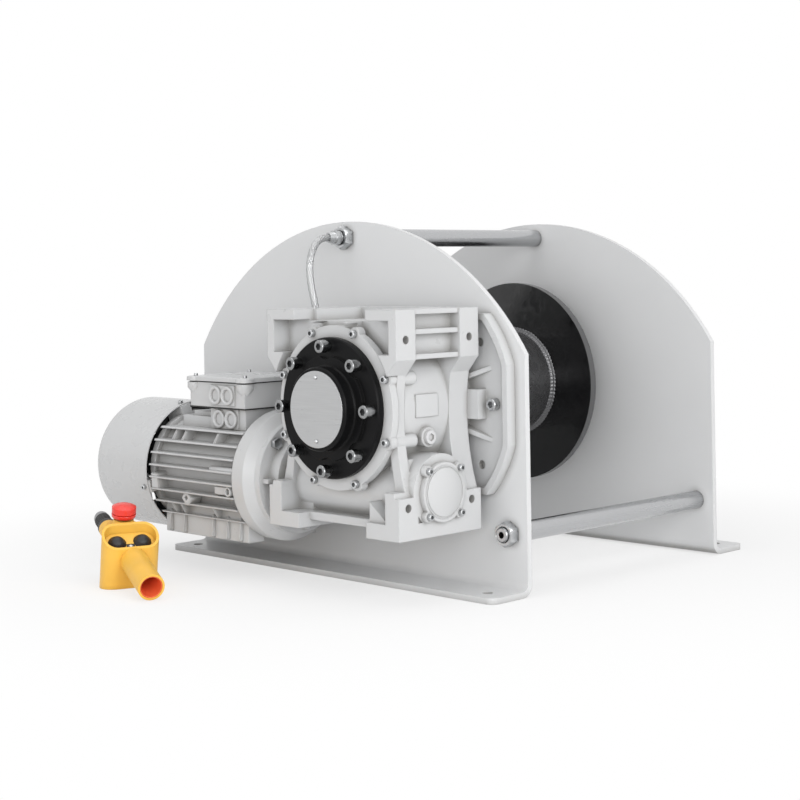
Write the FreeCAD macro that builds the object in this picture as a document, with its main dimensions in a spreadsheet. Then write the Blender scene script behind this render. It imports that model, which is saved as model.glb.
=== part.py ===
"""Electric drum winch: two bent side plates on tie rods, a flanged drum driven through an open spur
stage by a worm gearbox and brake motor, and a yellow pistol-grip pendant standing on the floor.

Frame: +Z up, the drum axis along Y, the gearbox on the -Y side, the motor reaching to -X.
The origin lies on the floor at the centre of the four foot holes. Millimetres.
"""
import FreeCAD
import Part
import Sketcher

import math
import os

V = FreeCAD.Vector

DIMENSIONS = {
    # Side plates, bent outward into feet
    "plate_width": 820, "plate_height": 610, "plate_corner": 386, "plate_thick": 10, "plate_gap": 500,
    "foot_reach": 84, "bend_inside": 12, "foot_corner": 14,
    "foot_hole_edge": 40, "foot_hole_out": 52, "foot_hole_radius": 8.75,
    # Tie rods between the plates
    "rod_radius": 16, "rod_bore": 5.5, "rod_end_radius": 12, "rod_end_stub": 22, "rod_end_play": 0.1,
    "rod_edge": 36, "lower_rod_height": 98, "top_rod_edge": 28,
    "nut_across": 36, "nut_thick": 18,
    # Rope drum on its fixed axle
    "drum_height": 305, "barrel_radius": 96.85, "barrel_wall": 10, "rope_width": 360,
    "rim_radius": 190, "rim_thick": 15, "weld_size": 8,
    "axle_radius": 25, "bearing_radius": 45, "running_gap": 0.05, "seat_gap": 0.1,
    "socket_radius": 42, "socket_length": 14, "axle_end": 34,
    "keeper_width": 44, "keeper_length": 120, "keeper_thick": 10, "keeper_bite": 5, "keeper_bolt_span": 84,
    "keeper_bolt_radius": 6,
    # Open spur stage between the near plate and the drum
    "gear_module": 6, "gear_teeth": 46, "pinion_teeth": 16, "gear_width": 36, "pinion_width": 31,
    "backlash": 0.5, "gear_bolt_circle": 85, "gear_bolt_count": 6, "gear_bore": 62,
    # Worm gearbox
    "box_half_width": 152, "box_top": 157, "box_bottom": 199, "box_depth": 186, "box_stand": 29,
    "box_wall": 13, "centre_distance": 130, "wheel_case_radius": 124, "worm_case_radius": 60,
    "case_recess": 24, "case_lip": 17, "saddle": 84, "saddle_drop": 19,
    "pad_height": 78, "pad_depth": 43, "waist": 22, "waist_drop": 25, "flank_radius": 400,
    "shoe_height": 66, "shoe_width": 73, "arch_rise": 12, "gusset_width": 39, "gusset_rise": 31,
    "rib_thick": 8, "pad_hole_radius": 6.5, "pad_rise": 2,
    "plate_pad_width": 50, "plate_pad_height": 36, "plate_pad_lift": 4,
    "wheel_room": 112, "back_wall": 22, "worm_bore": 38,
    "wheel_tip_radius": 104, "wheel_teeth": 40, "wheel_width": 40,
    "wheel_hub_radius": 42, "wheel_hub_width": 60, "shaft_radius": 25, "worm_radius": 25,
    "worm_journal": 17, "worm_bearing_width": 19, "worm_bearing_inset": 16,
    "thrust_gap": 0.3, "output_bearing_width": 18,
    # Ribbed flange between gearbox and near plate
    "flange_radius": 213, "flange_flat": 203, "flange_rise": 146, "flange_thick": 9, "flange_lip": 11,
    "flange_rim_depth": 20, "flange_bore": 58, "flange_bolt_circle": 169, "flange_bolt_radius": 7,
    "flange_bolt_head": 10, "flange_bolt_head_height": 13, "flange_rib": 8, "plate_shaft_hole": 58,
    "boss_rise": 24,
    # Covers on the gearbox
    "side_cover_radius": 132, "side_cover_thick": 14, "cover_radius": 113, "cover_thick": 12,
    "cover_ring_radius": 84, "cover_ring_height": 6, "cover_hub_radius": 67, "cover_hub_height": 26,
    "cover_bolt_circle": 99, "cover_bolt_head": 10.5, "cover_bolt_reach": 21,
    "badge_radius": 61, "badge_thick": 2,
    "lug_circle": 128, "lug_radius": 11, "lug_screw_radius": 6.5, "spigot": 4, "cover_edge": 2,
    "badge_screw_radius": 3.5,
    "worm_cover_radius": 47, "worm_cover_thick": 9, "worm_cover_lug": 9, "worm_cover_screw_circle": 50,
    "worm_cover_screw_radius": 5.5,
    "oil_plug_radius": 11, "oil_plug_drop": 46, "oil_plug_head": 6, "oil_boss_radius": 16, "oil_boss_rise": 4,
    # Brake motor
    "motor_neck_radius": 74, "motor_neck": 22, "motor_flange_radius": 97, "motor_flange_thick": 12,
    "motor_gusset": 8, "motor_band_radius": 112, "motor_band": 28, "motor_taper": 14, "stator_length": 230,
    "stator_bore": 85, "stator_wall": 7, "fin_radius": 114, "fin_thick": 3.2, "fin_pitch": 21.5,
    "fin_count": 8, "crown_rise": 96, "crown_step": 8, "crown_inset": 22,
    "motor_foot_in": 42, "motor_foot_out": 76, "motor_foot_drop": 111,
    "rotor_radius": 55, "air_gap": 0.8, "core_length": 130, "motor_bearing_radius": 36,
    "motor_bolt_across": 17, "motor_bolt_head": 9, "motor_bolt_circle": 86,
    "shield_radius": 100, "shield_thick": 14, "cowl_lug_reach": 46, "cowl_lug_width": 22, "cowl_lug_turn": 15,
    "brake_gap": 2, "brake_disc_radius": 58, "brake_disc_thick": 9, "brake_radius": 76, "brake_length": 38,
    "brake_stud_radius": 6, "brake_stud_circle": 67,
    "fan_radius": 98, "fan_width": 40, "fan_hub_radius": 32, "fan_blade": 4, "fan_blades": 8,
    "fan_setback": 66,
    "cowl_radius": 117, "cowl_wall": 2, "cowl_front": 311, "cowl_length": 166, "cowl_round": 26,
    "vent_ring": 84, "cowl_screw_radius": 4.5,
    # Terminal box on the motor
    "tbox_width": 150, "tbox_depth": 136, "tbox_front": 68, "tbox_height": 47, "tbox_wall": 4,
    "tbox_setback": 91, "tbase_height": 113, "tbase_inset": 8, "tbase_left": 46,
    "lid_height": 8, "lid_overhang": 4,
    "knockout_radius": 15, "knockout_relief": 3, "knockout_plate": 3, "lid_screw_radius": 3.5, "lid_post": 14,
    # Cable glands and the braided cable between them
    "gland_radius": 11, "gland_length": 22, "gland_hex": 24, "gland_hex_length": 9, "cable_radius": 6.5,
    "gland_height": 24, "gland_offset": 28, "gland_lip": 2,
    # Pendant control
    "pendant_x": -149, "pendant_y": -625, "pendant_yaw": -21, "pendant_tilt": 13.6, "face_tilt": 28,
    "head_length": 51, "head_width": 96, "head_corner": 24, "head_depth": 125, "head_lip": 4.5, "recess": 15,
    "grip_radius": 22, "grip_wall": 3.5, "grip_reach": 139, "grip_drop": 34, "grip_bore_depth": 95,
    "shoulder_half_width": 26, "shoulder_corner": 20, "shoulder_top": -1, "shoulder_depth": 70,
    "collar_offset": 49, "collar_radius": 19, "collar_top": 17, "collar_height": 12,
    "stem_radius": 8, "stem_depth": 24, "stem_rise": 14, "stop_radius": 20.5, "stop_height": 18.5,
    "stop_lift": 8.5, "stop_travel": 5,
    "button_radius": 15, "button_top": 10, "button_span": 43, "button_depth": 12, "button_stem": 9,
    "button_shift": 4, "button_skirt": 2, "button_rise": 9, "button_dome": 4, "button_travel": 4,
    "button_gap": 0.3, "button_plate": 2,
    "cord_gland_radius": 13, "cord_gland_length": 55, "cord_gland_nut": 16, "cord_gland_nut_length": 10,
    "cord_gland_bore": 6.5, "cord_gland_side": 18, "cord_gland_drop": 17, "cord_gland_seat": 4,
}

# Places worked out from the driving sizes
NEAR_FACE = "(-Size.plate_gap / 2 - Size.plate_thick)"
FAR_FACE = "(Size.plate_gap / 2 + Size.plate_thick)"
NEAR_INSIDE = "(-Size.plate_gap / 2)"
FAR_INSIDE = "(Size.plate_gap / 2)"
GEARBOX_X = "(Size.gear_module * (Size.gear_teeth + Size.pinion_teeth) / 2)"
ROD_X = "(Size.plate_width / 2 - Size.rod_edge)"
TOP_ROD_Z = "(Size.plate_height - Size.top_rod_edge)"
BOX_BACK = f"({NEAR_FACE} - Size.box_stand)"
BOX_FRONT = f"({BOX_BACK} - Size.box_depth)"
BOX_MIDDLE = f"({BOX_BACK} - Size.box_depth / 2)"
BOX_LEFT = f"({GEARBOX_X} - Size.box_half_width)"
BOX_RIGHT = f"({GEARBOX_X} + Size.box_half_width)"
WORM_Z = "(Size.drum_height - Size.centre_distance)"
RIM_OUT = "(Size.rope_width / 2 + Size.rim_thick)"
CASE_FRONT = f"({BOX_FRONT} + Size.case_recess)"
FRAME_BACK = f"({BOX_FRONT} + Size.pad_depth)"
CASE_FLOOR = "(Size.arch_rise + Size.box_wall - Size.box_bottom)"
CASE_SHOE = "(Size.shoe_height - Size.box_bottom)"
COVER_SEAT = f"({CASE_FRONT} - Size.side_cover_thick)"
COVER_FACE = f"({COVER_SEAT} - Size.cover_thick)"
HUB_FACE = f"({COVER_FACE} - Size.cover_hub_height)"
MOTOR_BAND_X = f"({BOX_LEFT} - Size.motor_neck - Size.motor_flange_thick - Size.motor_taper)"
STATOR_X = f"({MOTOR_BAND_X} - Size.motor_band)"
SHIELD_X = f"({STATOR_X} - Size.stator_length)"
SHIELD_BACK = f"({SHIELD_X} - Size.shield_thick)"
BRAKE_X = f"({SHIELD_BACK} - 2 * Size.brake_gap - Size.brake_disc_thick)"
BRAKE_BACK = f"({BRAKE_X} - Size.brake_length)"
COWL_X = f"({BOX_LEFT} - Size.cowl_front)"
COWL_END = f"({COWL_X} - Size.cowl_length)"
TBOX_RIGHT = f"({BOX_LEFT} - Size.tbox_setback)"
TBOX_FRONT = f"({BOX_MIDDLE} - Size.tbox_front)"
TBOX_BOTTOM = f"({WORM_Z} + Size.tbase_height)"
FIN_TOP = f"({WORM_Z} + (Size.fin_count - 1) / 2 * Size.fin_pitch + Size.fin_thick / 2)"
TBOX_TOP = f"({TBOX_BOTTOM} + Size.tbox_height)"
GLAND_Y = f"({TBOX_FRONT} + Size.tbox_depth - Size.gland_offset)"
GLAND_Z = f"({TBOX_BOTTOM} + Size.gland_height)"
CABLE_TOP_Y = f"({NEAR_FACE} - Size.rod_end_stub - Size.gland_length)"
CABLE_BOX_X = f"({TBOX_RIGHT} + Size.gland_length)"
PENDANT_Z = ("(Size.grip_reach * sin(Size.pendant_tilt)"
             " + (Size.grip_drop + Size.grip_radius) * cos(Size.pendant_tilt))")

# Turns that carry a piece's own Z axis onto a row axis
TO_PLUS_Y = FreeCAD.Rotation(V(1, 0, 0), -90)
TO_MINUS_Y = FreeCAD.Rotation(V(1, 0, 0), 90)
TO_PLUS_X = FreeCAD.Rotation(V(0, 1, 0), 90)
TO_MINUS_X = FreeCAD.Rotation(V(0, 1, 0), -90)
UPRIGHT = FreeCAD.Rotation()

doc = FreeCAD.newDocument("electric_winch")
sheet = doc.addObject("Spreadsheet::Sheet", "Size")
subparts = []


def fill_sheet():
    for row, (name, number) in enumerate(DIMENSIONS.items(), start=1):
        sheet.set(f"A{row}", name)
        sheet.set(f"B{row}", str(number))
        sheet.setAlias(f"B{row}", name)
    doc.recompute()


def num(text):
    """The value of an expression on the sheet."""
    return float(sheet.evalExpression(text))


def bind(item, **expressions):
    for path, text in expressions.items():
        item.setExpression(path.replace("__", "."), text)
    return item


def place(item, x="0", y="0", z="0", turn=UPRIGHT):
    item.Placement = FreeCAD.Placement(V(num(x), num(y), num(z)), turn)
    return bind(item, Placement__Base__x=x, Placement__Base__y=y, Placement__Base__z=z)


def keep(item, label):
    """Name a finished piece and list it for writing."""
    item.Label = label
    subparts.append(item)
    return item


# Sketches whose corners are tied to the sheet


def new_sketch(body, role):
    sketch = body.newObject("Sketcher::SketchObject", f"{body.Name}_sketch")
    plane = next(item for item in body.Origin.OriginFeatures if item.Role == role)
    sketch.AttachmentSupport = [(plane, "")]
    sketch.MapMode = "FlatFace"
    return sketch


def constrain(sketch, kind, geometry, corner, text):
    index = sketch.addConstraint(Sketcher.Constraint(kind, -1, 1, geometry, corner, num(text)))
    sketch.setExpression(f"Constraints[{index}]", text)


def constrain_radius(sketch, geometry, text):
    index = sketch.addConstraint(Sketcher.Constraint("Radius", geometry, num(text)))
    sketch.setExpression(f"Constraints[{index}]", text)


def arc_between(start, end, radius, left):
    """The minor arc from start to end, turning left or right; its own start comes first by angle."""
    chord = end - start
    side = V(-chord.y, chord.x, 0).normalize() * (1 if left else -1)
    centre = (start + end) / 2 + side * math.sqrt(max(radius**2 - (chord.Length / 2) ** 2, 0))
    first, last = (start, end) if left else (end, start)
    angles = [math.atan2(p.y - centre.y, p.x - centre.x) for p in (first, last)]
    return Part.ArcOfCircle(Part.Circle(centre, V(0, 0, 1), radius), *angles)


def outline(sketch, corners):
    """A closed outline. A corner is (x, y), or (x, y, radius, turn) where an arc leads to the next one."""
    points = [V(num(c[0]), num(c[1]), 0) for c in corners]
    ends = []
    for i, corner in enumerate(corners):
        start, end = points[i], points[(i + 1) % len(points)]
        if len(corner) == 2:
            edge = sketch.addGeometry(Part.LineSegment(start, end), False)
            ends.append((edge, 1, 2))
            continue
        left = corner[3] == "left"
        edge = sketch.addGeometry(arc_between(start, end, num(corner[2]), left), False)
        ends.append((edge, 1, 2) if left else (edge, 2, 1))
    for i, (edge, first, last) in enumerate(ends):
        following, following_first, _ = ends[(i + 1) % len(ends)]
        sketch.addConstraint(Sketcher.Constraint("Coincident", edge, last, following, following_first))
        constrain(sketch, "DistanceX", edge, first, corners[i][0])
        constrain(sketch, "DistanceY", edge, first, corners[i][1])
        if len(corners[i]) > 2:
            constrain_radius(sketch, edge, corners[i][2])


def circle(sketch, x, y, radius):
    edge = sketch.addGeometry(Part.Circle(V(num(x), num(y), 0), V(0, 0, 1), num(radius)), False)
    constrain(sketch, "DistanceX", edge, 3, x)
    constrain(sketch, "DistanceY", edge, 3, y)
    constrain_radius(sketch, edge, radius)


# Features in a body


def new_body(label):
    return keep(doc.addObject("PartDesign::Body", label), label)


def pad(body, sketch, length, both_ways=False, reverse=False):
    feature = body.newObject("PartDesign::Pad", f"{body.Name}_pad")
    feature.Profile = sketch
    feature.Reversed = reverse
    feature.SideType = "Symmetric" if both_ways else "One side"
    return bind(feature, Length=length)


def pocket(body, role, draw, depth=None, reverse=False, both_ways=False):
    """Cut a sketched shape: to a depth, or right through when no depth is given."""
    sketch = new_sketch(body, role)
    draw(sketch)
    feature = body.newObject("PartDesign::Pocket", f"{body.Name}_pocket")
    feature.Profile = sketch
    feature.Reversed = reverse
    feature.SideType = "Symmetric" if both_ways else "One side"
    if depth is None:
        feature.Type = "ThroughAll"
    else:
        bind(feature, Length=depth)
    return feature


def revolve(body, corners):
    """Turn a half section about the piece's own Z; corners are (radius, height)."""
    sketch = new_sketch(body, "XZ_Plane")
    outline(sketch, corners)
    feature = body.newObject("PartDesign::Revolution", f"{body.Name}_revolution")
    feature.Profile = sketch
    feature.ReferenceAxis = (sketch, ["V_Axis"])
    feature.Angle = 360
    return feature


def turned_blank(corners, **where):
    body = doc.addObject("PartDesign::Body", "turned")
    revolve(body, corners)
    return place(body, **where)


def turned(label, corners, **where):
    return keep(turned_blank(corners, **where), label)


def round_edges(body, radius, chosen):
    """Round the edges of a body that a test picks out."""
    base = body.Tip
    names = [f"Edge{i}" for i, edge in enumerate(body.Shape.Edges, start=1) if chosen(edge)]
    fillet = body.newObject("PartDesign::Fillet", f"{body.Name}_fillet")
    fillet.Base = (base, names)
    return bind(fillet, Radius=radius)


def around_z(body, features, count):
    pattern = body.newObject("PartDesign::PolarPattern", f"{body.Name}_pattern")
    pattern.Originals = features
    axis = next(item for item in body.Origin.OriginFeatures if item.Role == "Z_Axis")
    pattern.Axis = (axis, [""])
    pattern.Angle = 360
    pattern.Occurrences = count
    body.Tip = pattern
    return pattern


# Primitives and booleans in the row's own frame


def box(x, y, z):
    """A block between two expressions on each axis."""
    block = doc.addObject("Part::Box", "block")
    sizes = [f"({high}) - ({low})" for low, high in (x, y, z)]
    bind(block, Length=sizes[0], Width=sizes[1], Height=sizes[2])
    return place(block, x[0], y[0], z[0])


def rod(radius, length, x, y, z, turn=UPRIGHT):
    cylinder = doc.addObject("Part::Cylinder", "rod")
    bind(cylinder, Radius=radius, Height=length)
    return place(cylinder, x, y, z, turn)


def fuse(*items):
    if len(items) == 1:
        return items[0]
    union = doc.addObject("Part::MultiFuse", "union")
    union.Shapes = list(items)
    union.Refine = True
    return union


def cut(base, *tools):
    difference = doc.addObject("Part::Cut", "difference")
    difference.Base = base
    difference.Tool = fuse(*tools)
    difference.Refine = True
    return difference


def common(*items):
    overlap = doc.addObject("Part::MultiCommon", "overlap")
    overlap.Shapes = list(items)
    overlap.Refine = True
    return overlap


# Fasteners and other repeated pieces, as groups of separate solids


def group(label, shapes):
    feature = doc.addObject("Part::Feature", label)
    feature.Shape = Part.makeCompound(shapes)
    feature.Placement = FreeCAD.Placement()
    return keep(feature, label)


def prism(across_flats, length):
    radius = across_flats / math.sqrt(3)
    corners = [V(radius * math.cos(math.radians(a)), radius * math.sin(math.radians(a)), 0)
               for a in range(0, 420, 60)]
    return Part.Face(Part.makePolygon(corners)).extrude(V(0, 0, length))


def hex_nut(across_flats, length, bore):
    return prism(across_flats, length).cut(Part.makeCylinder(bore, length))


def socket_head(radius, height):
    """A cap screw's head seated on z = 0, with its key socket."""
    head = Part.makeCylinder(radius, height)
    head = head.makeChamfer(height * 0.1, [head.Edges[0]])
    socket = prism(radius, height * 0.5)
    socket.translate(V(0, 0, height * 0.5))
    return head.cut(socket)


def screw_head(radius):
    return socket_head(num(radius), num(radius) * 1.2)


def with_shank(head, radius, length):
    """A head seated on z = 0 with a plain shank below it."""
    return head.fuse(Part.makeCylinder(radius, length, V(0, 0, -length))).removeSplitter()


def bearing_ring(inner, outer, width):
    ring = Part.makeCylinder(num(outer), num(width))
    return ring.cut(Part.makeCylinder(num(inner), num(width)))


def placed(shape, position, turn=UPRIGHT):
    copy = shape.copy()
    copy.Placement = FreeCAD.Placement(position, turn).multiply(shape.Placement)
    return copy


def ring_points(count, radius, first_angle):
    """Points on a circle in a piece's own XY plane."""
    angles = [math.radians(first_angle + 360 / count * i) for i in range(count)]
    return [V(radius * math.cos(a), radius * math.sin(a), 0) for a in angles]


def gear_section(teeth, module, addendum, thinning, turn):
    """Outline of an external involute gear in its own XY plane, first tooth at the angle given."""
    pressure = math.radians(20)
    pitch = module * teeth / 2
    base = pitch * math.cos(pressure)
    tip = pitch + addendum * module
    root = pitch - 1.25 * module
    half_tooth = math.pi / (2 * teeth) - thinning / (2 * pitch)
    involute = math.tan(pressure) - pressure
    flank = []
    for step in range(5):
        radius = max(base, root) + (tip - max(base, root)) * step / 4
        roll = math.acos(min(base / radius, 1))
        flank.append((radius, half_tooth + involute - (math.tan(roll) - roll)))
    if root < base:
        flank.insert(0, (root, flank[0][1]))
    corners = []
    for tooth in range(teeth):
        middle = math.radians(turn) + 2 * math.pi * tooth / teeth
        side = [(r, middle - a) for r, a in flank] + [(r, middle + a) for r, a in reversed(flank)]
        corners += [V(r * math.cos(a), r * math.sin(a), 0) for r, a in side]
    return Part.Face(Part.makePolygon(corners + corners[:1]))


# Frame: side plates, tie rods and the drum's fixed axle


def side_plate(label, holes, turn, y):
    """A plate with an arched top, its lower edge bent outward into a foot."""
    body = new_body(label)
    side, bend = "Size.plate_width / 2", "(Size.bend_inside + Size.plate_thick)"
    crown = "(Size.plate_height - Size.plate_corner)"
    arch = f"(({side})^2 + {crown}^2) / (2 * {crown})"
    sheet_sketch = new_sketch(body, "XZ_Plane")
    outline(sheet_sketch, [(f"-{side}", bend), (side, bend), (side, "Size.plate_corner", arch, "left"),
                           (f"-{side}", "Size.plate_corner")])
    pad(body, sheet_sketch, "Size.plate_thick")
    foot_sketch = new_sketch(body, "YZ_Plane")
    tip = "-Size.plate_thick - Size.foot_reach"
    outline(foot_sketch, [("0", bend), ("-Size.plate_thick", bend, "Size.bend_inside", "right"),
                          (f"-{bend}", "Size.plate_thick"), (tip, "Size.plate_thick"), (tip, "0"),
                          (f"-{bend}", "0", bend, "left")])
    pad(body, foot_sketch, "Size.plate_width", both_ways=True)
    doc.recompute()
    round_foot_corners(body)
    pocket(body, "XZ_Plane", lambda s: [circle(s, *hole) for hole in holes], both_ways=True)
    pocket(body, "XY_Plane", foot_holes, both_ways=True)
    return place(body, y=y, turn=turn)


def foot_holes(sketch):
    for side in ("-", ""):
        circle(sketch, f"{side}(Size.plate_width / 2 - Size.foot_hole_edge)",
               "-Size.plate_thick - Size.foot_hole_out", "Size.foot_hole_radius")


def round_foot_corners(body):
    tip = -num("Size.plate_thick + Size.foot_reach")
    round_edges(body, "Size.foot_corner", lambda edge: abs(edge.CenterOfMass.y - tip) < 0.01
                and edge.BoundBox.XLength < 0.01)


def rod_holes():
    radius = "Size.rod_end_radius + Size.rod_end_play"
    return [(f"-{ROD_X}", "Size.lower_rod_height", radius), (ROD_X, "Size.lower_rod_height", radius),
            ("0", TOP_ROD_Z, radius)]


def side_plates():
    bolt = "Size.flange_bolt_radius + Size.seat_gap"
    bolts = [(f"{GEARBOX_X} + Size.flange_bolt_circle * cos({a})",
              f"Size.drum_height + Size.flange_bolt_circle * sin({a})", bolt) for a in flange_bolt_angles()]
    shaft_hole = (GEARBOX_X, "Size.drum_height", "Size.plate_shaft_hole")
    side_plate("near_side_plate", rod_holes() + bolts + [shaft_hole], UPRIGHT, NEAR_INSIDE)
    axle_hole = ("0", "Size.drum_height", "Size.axle_radius + Size.seat_gap")
    side_plate("far_side_plate", rod_holes() + [axle_hole], FreeCAD.Rotation(V(0, 0, 1), 180), FAR_INSIDE)


def tie_rod(label, x, z):
    """A tube whose turned-down threaded ends pass through the plates."""
    end, shoulder = "(Size.plate_gap / 2 + Size.plate_thick + Size.rod_end_stub)", "Size.plate_gap / 2"
    chamfer = "Size.rod_end_radius / 8"
    corners = [("Size.rod_bore", f"-{end}"), (f"Size.rod_end_radius - {chamfer}", f"-{end}"),
               ("Size.rod_end_radius", f"-{end} + {chamfer}"), ("Size.rod_end_radius", f"-{shoulder}"),
               ("Size.rod_radius", f"-{shoulder}"), ("Size.rod_radius", shoulder),
               ("Size.rod_end_radius", shoulder), ("Size.rod_end_radius", f"{end} - {chamfer}"),
               (f"Size.rod_end_radius - {chamfer}", end), ("Size.rod_bore", end)]
    turned(label, corners, x=x, z=z, turn=TO_PLUS_Y)


def tie_rods():
    tie_rod("top_tie_rod", "0", TOP_ROD_Z)
    tie_rod("left_tie_rod", f"-{ROD_X}", "Size.lower_rod_height")
    tie_rod("right_tie_rod", ROD_X, "Size.lower_rod_height")
    nut = hex_nut(num("Size.nut_across"), num("Size.nut_thick"),
                  num("Size.rod_end_radius + Size.rod_end_play"))
    places = [(num(x), num(z)) for x, z, _ in rod_holes()]
    nuts = [placed(nut, V(x, num(NEAR_FACE), z), TO_MINUS_Y) for x, z in places]
    nuts += [placed(nut, V(x, num(FAR_FACE), z), TO_PLUS_Y) for x, z in places]
    group("tie_rod_nuts", nuts)


def drum_axle():
    """The axle stands in a welded socket on the near plate and is locked by a keeper on the far one."""
    turned("axle_socket", [("Size.axle_radius + Size.seat_gap", "0"), ("Size.socket_radius", "0"),
                           ("Size.socket_radius - Size.weld_size / 2", "Size.socket_length"),
                           ("Size.axle_radius + Size.seat_gap", "Size.socket_length")],
           y=NEAR_INSIDE, z="Size.drum_height", turn=TO_PLUS_Y)
    length = "Size.plate_gap + Size.plate_thick + Size.axle_end"
    shaft = rod("Size.axle_radius", length, "0", NEAR_INSIDE, "Size.drum_height", TO_PLUS_Y)
    half, slot_z = "Size.keeper_length / 2", "Size.drum_height + Size.axle_radius - Size.keeper_bite"
    keeper_y = (FAR_FACE, f"{FAR_FACE} + Size.keeper_thick")
    slot = box((f"-{half}", half), keeper_y, (slot_z, f"{slot_z} + Size.keeper_width"))
    keep(cut(shaft, slot), "drum_axle")
    bar = box((f"-{half}", half), keeper_y, (f"{slot_z} + Size.seat_gap", f"{slot_z} + Size.keeper_width"))
    middle = f"{slot_z} + Size.keeper_width / 2"
    holes = [rod("Size.keeper_bolt_radius", "Size.keeper_thick", f"{side} Size.keeper_bolt_span / 2",
                 FAR_FACE, middle, TO_PLUS_Y) for side in ("-", "")]
    keep(cut(bar, *holes), "axle_keeper")
    radius = num("Size.keeper_bolt_radius")
    head = prism(radius * 3, radius * 1.3)
    bolt = with_shank(head, radius - num("Size.seat_gap"), num("Size.keeper_thick"))
    face = num(f"{FAR_FACE} + Size.keeper_thick")
    group("axle_keeper_bolts", [placed(bolt, V(side * num("Size.keeper_bolt_span / 2"), face, num(middle)),
                                       TO_PLUS_Y) for side in (-1, 1)])


# Drum and the open spur stage


def drum_flange(label, side, turn):
    """A rim disc bored for its bearing; its own Z points away from the rope."""
    seat = "Size.bearing_radius + Size.seat_gap"
    turned(label, [(seat, "0"), ("Size.rim_radius", "0"), ("Size.rim_radius", "Size.rim_thick"),
                   (seat, "Size.rim_thick")],
           y=f"{side}Size.rope_width / 2", z="Size.drum_height", turn=turn)


def drum():
    half = "Size.rope_width / 2"
    inside = "Size.barrel_radius - Size.barrel_wall"
    turned("drum_barrel", [(inside, f"-{half}"), ("Size.barrel_radius", f"-{half}"),
                           ("Size.barrel_radius", half), (inside, half)],
           z="Size.drum_height", turn=TO_PLUS_Y)
    drum_flange("near_drum_flange", "-", TO_MINUS_Y)
    drum_flange("far_drum_flange", "", TO_PLUS_Y)
    group("drum_welds", [weld_bead(side) for side in (-1, 1)])
    bearing = bearing_ring("Size.axle_radius + Size.running_gap", "Size.bearing_radius", "Size.rim_thick")
    height = num("Size.drum_height")
    group("drum_bearings", [placed(bearing, V(0, -num(half), height), TO_MINUS_Y),
                            placed(bearing, V(0, num(half), height), TO_PLUS_Y)])


def weld_bead(side):
    """A fillet weld round the barrel against one rim."""
    radius, size = num("Size.barrel_radius"), num("Size.weld_size")
    corners = [V(radius, 0, 0), V(radius + size, 0, 0), V(radius, 0, size), V(radius, 0, 0)]
    bead = Part.Face(Part.makePolygon(corners)).revolve(V(0, 0, 0), V(0, 0, 1), 360)
    turn = TO_PLUS_Y if side < 0 else TO_MINUS_Y
    return placed(bead, V(0, side * num("Size.rope_width / 2"), num("Size.drum_height")), turn)


def spur_stage():
    module, thinning = num("Size.gear_module"), num("Size.backlash")
    gear_teeth, pinion_teeth = round(num("Size.gear_teeth")), round(num("Size.pinion_teeth"))
    addendum = 0.9
    gear = gear_section(gear_teeth, module, addendum, thinning, 0).extrude(V(0, 0, num("Size.gear_width")))
    gear = gear.cut(Part.makeCylinder(num("Size.gear_bore"), num("Size.gear_width")))
    bolt_radius = num("Size.keeper_bolt_radius")
    points = ring_points(round(num("Size.gear_bolt_count")), num("Size.gear_bolt_circle"), 0)
    for point in points:
        gear = gear.cut(Part.makeCylinder(bolt_radius, num("Size.gear_width"), point))
    face = V(0, -num(RIM_OUT), num("Size.drum_height"))
    group("drum_gear", [placed(gear, face, TO_MINUS_Y)])
    bolt = with_shank(socket_head(bolt_radius * 1.5, bolt_radius), bolt_radius - num("Size.seat_gap"),
                      num("Size.gear_width"))
    outer = FreeCAD.Placement(face, TO_MINUS_Y)
    group("drum_gear_bolts", [placed(bolt, outer.multVec(point + V(0, 0, num("Size.gear_width"))), TO_MINUS_Y)
                              for point in points])
    gap_turn = 180 / pinion_teeth
    pinion = gear_section(pinion_teeth, module, addendum, thinning, gap_turn)
    pinion = pinion.extrude(V(0, 0, num("Size.pinion_width")))
    pinion = pinion.cut(Part.makeCylinder(num("Size.shaft_radius + Size.seat_gap"), num("Size.pinion_width")))
    inset = num("(Size.gear_width - Size.pinion_width) / 2")
    seat = V(num(GEARBOX_X), -num(RIM_OUT) - inset, num("Size.drum_height"))
    group("output_pinion", [placed(pinion, seat, TO_MINUS_Y)])


# Worm gearbox, in places counted from the wheel axis


def from_axis(text):
    return f"({GEARBOX_X} + {text})"


def above_axis(text):
    return f"(Size.drum_height + {text})"


def both_sides(low, high):
    """The X spans on both sides of the wheel axis between two distances from it."""
    return [(from_axis(low), from_axis(high)), (from_axis(f"-({high})"), from_axis(f"-({low})"))]


def flange_bolt_angles():
    return (0, 180)


def flange_hole_angles():
    return (36, -36, 144, 216)


def on_flange(angle):
    radians = math.radians(angle)
    reach = num("Size.flange_bolt_circle")
    return V(num(GEARBOX_X) + reach * math.cos(radians), num(NEAR_FACE),
             num("Size.drum_height") + reach * math.sin(radians))


def flange_disc(radius, flat, rise, y, depth):
    """A disc with flats on four sides, its back at y."""
    disc = rod(radius, depth, GEARBOX_X, y, "Size.drum_height", TO_MINUS_Y)
    flats = box((from_axis(f"-({flat})"), from_axis(flat)), (f"{y} - ({depth})", y),
                (above_axis(f"-({rise})"), above_axis(rise)))
    return common(disc, flats)


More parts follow.
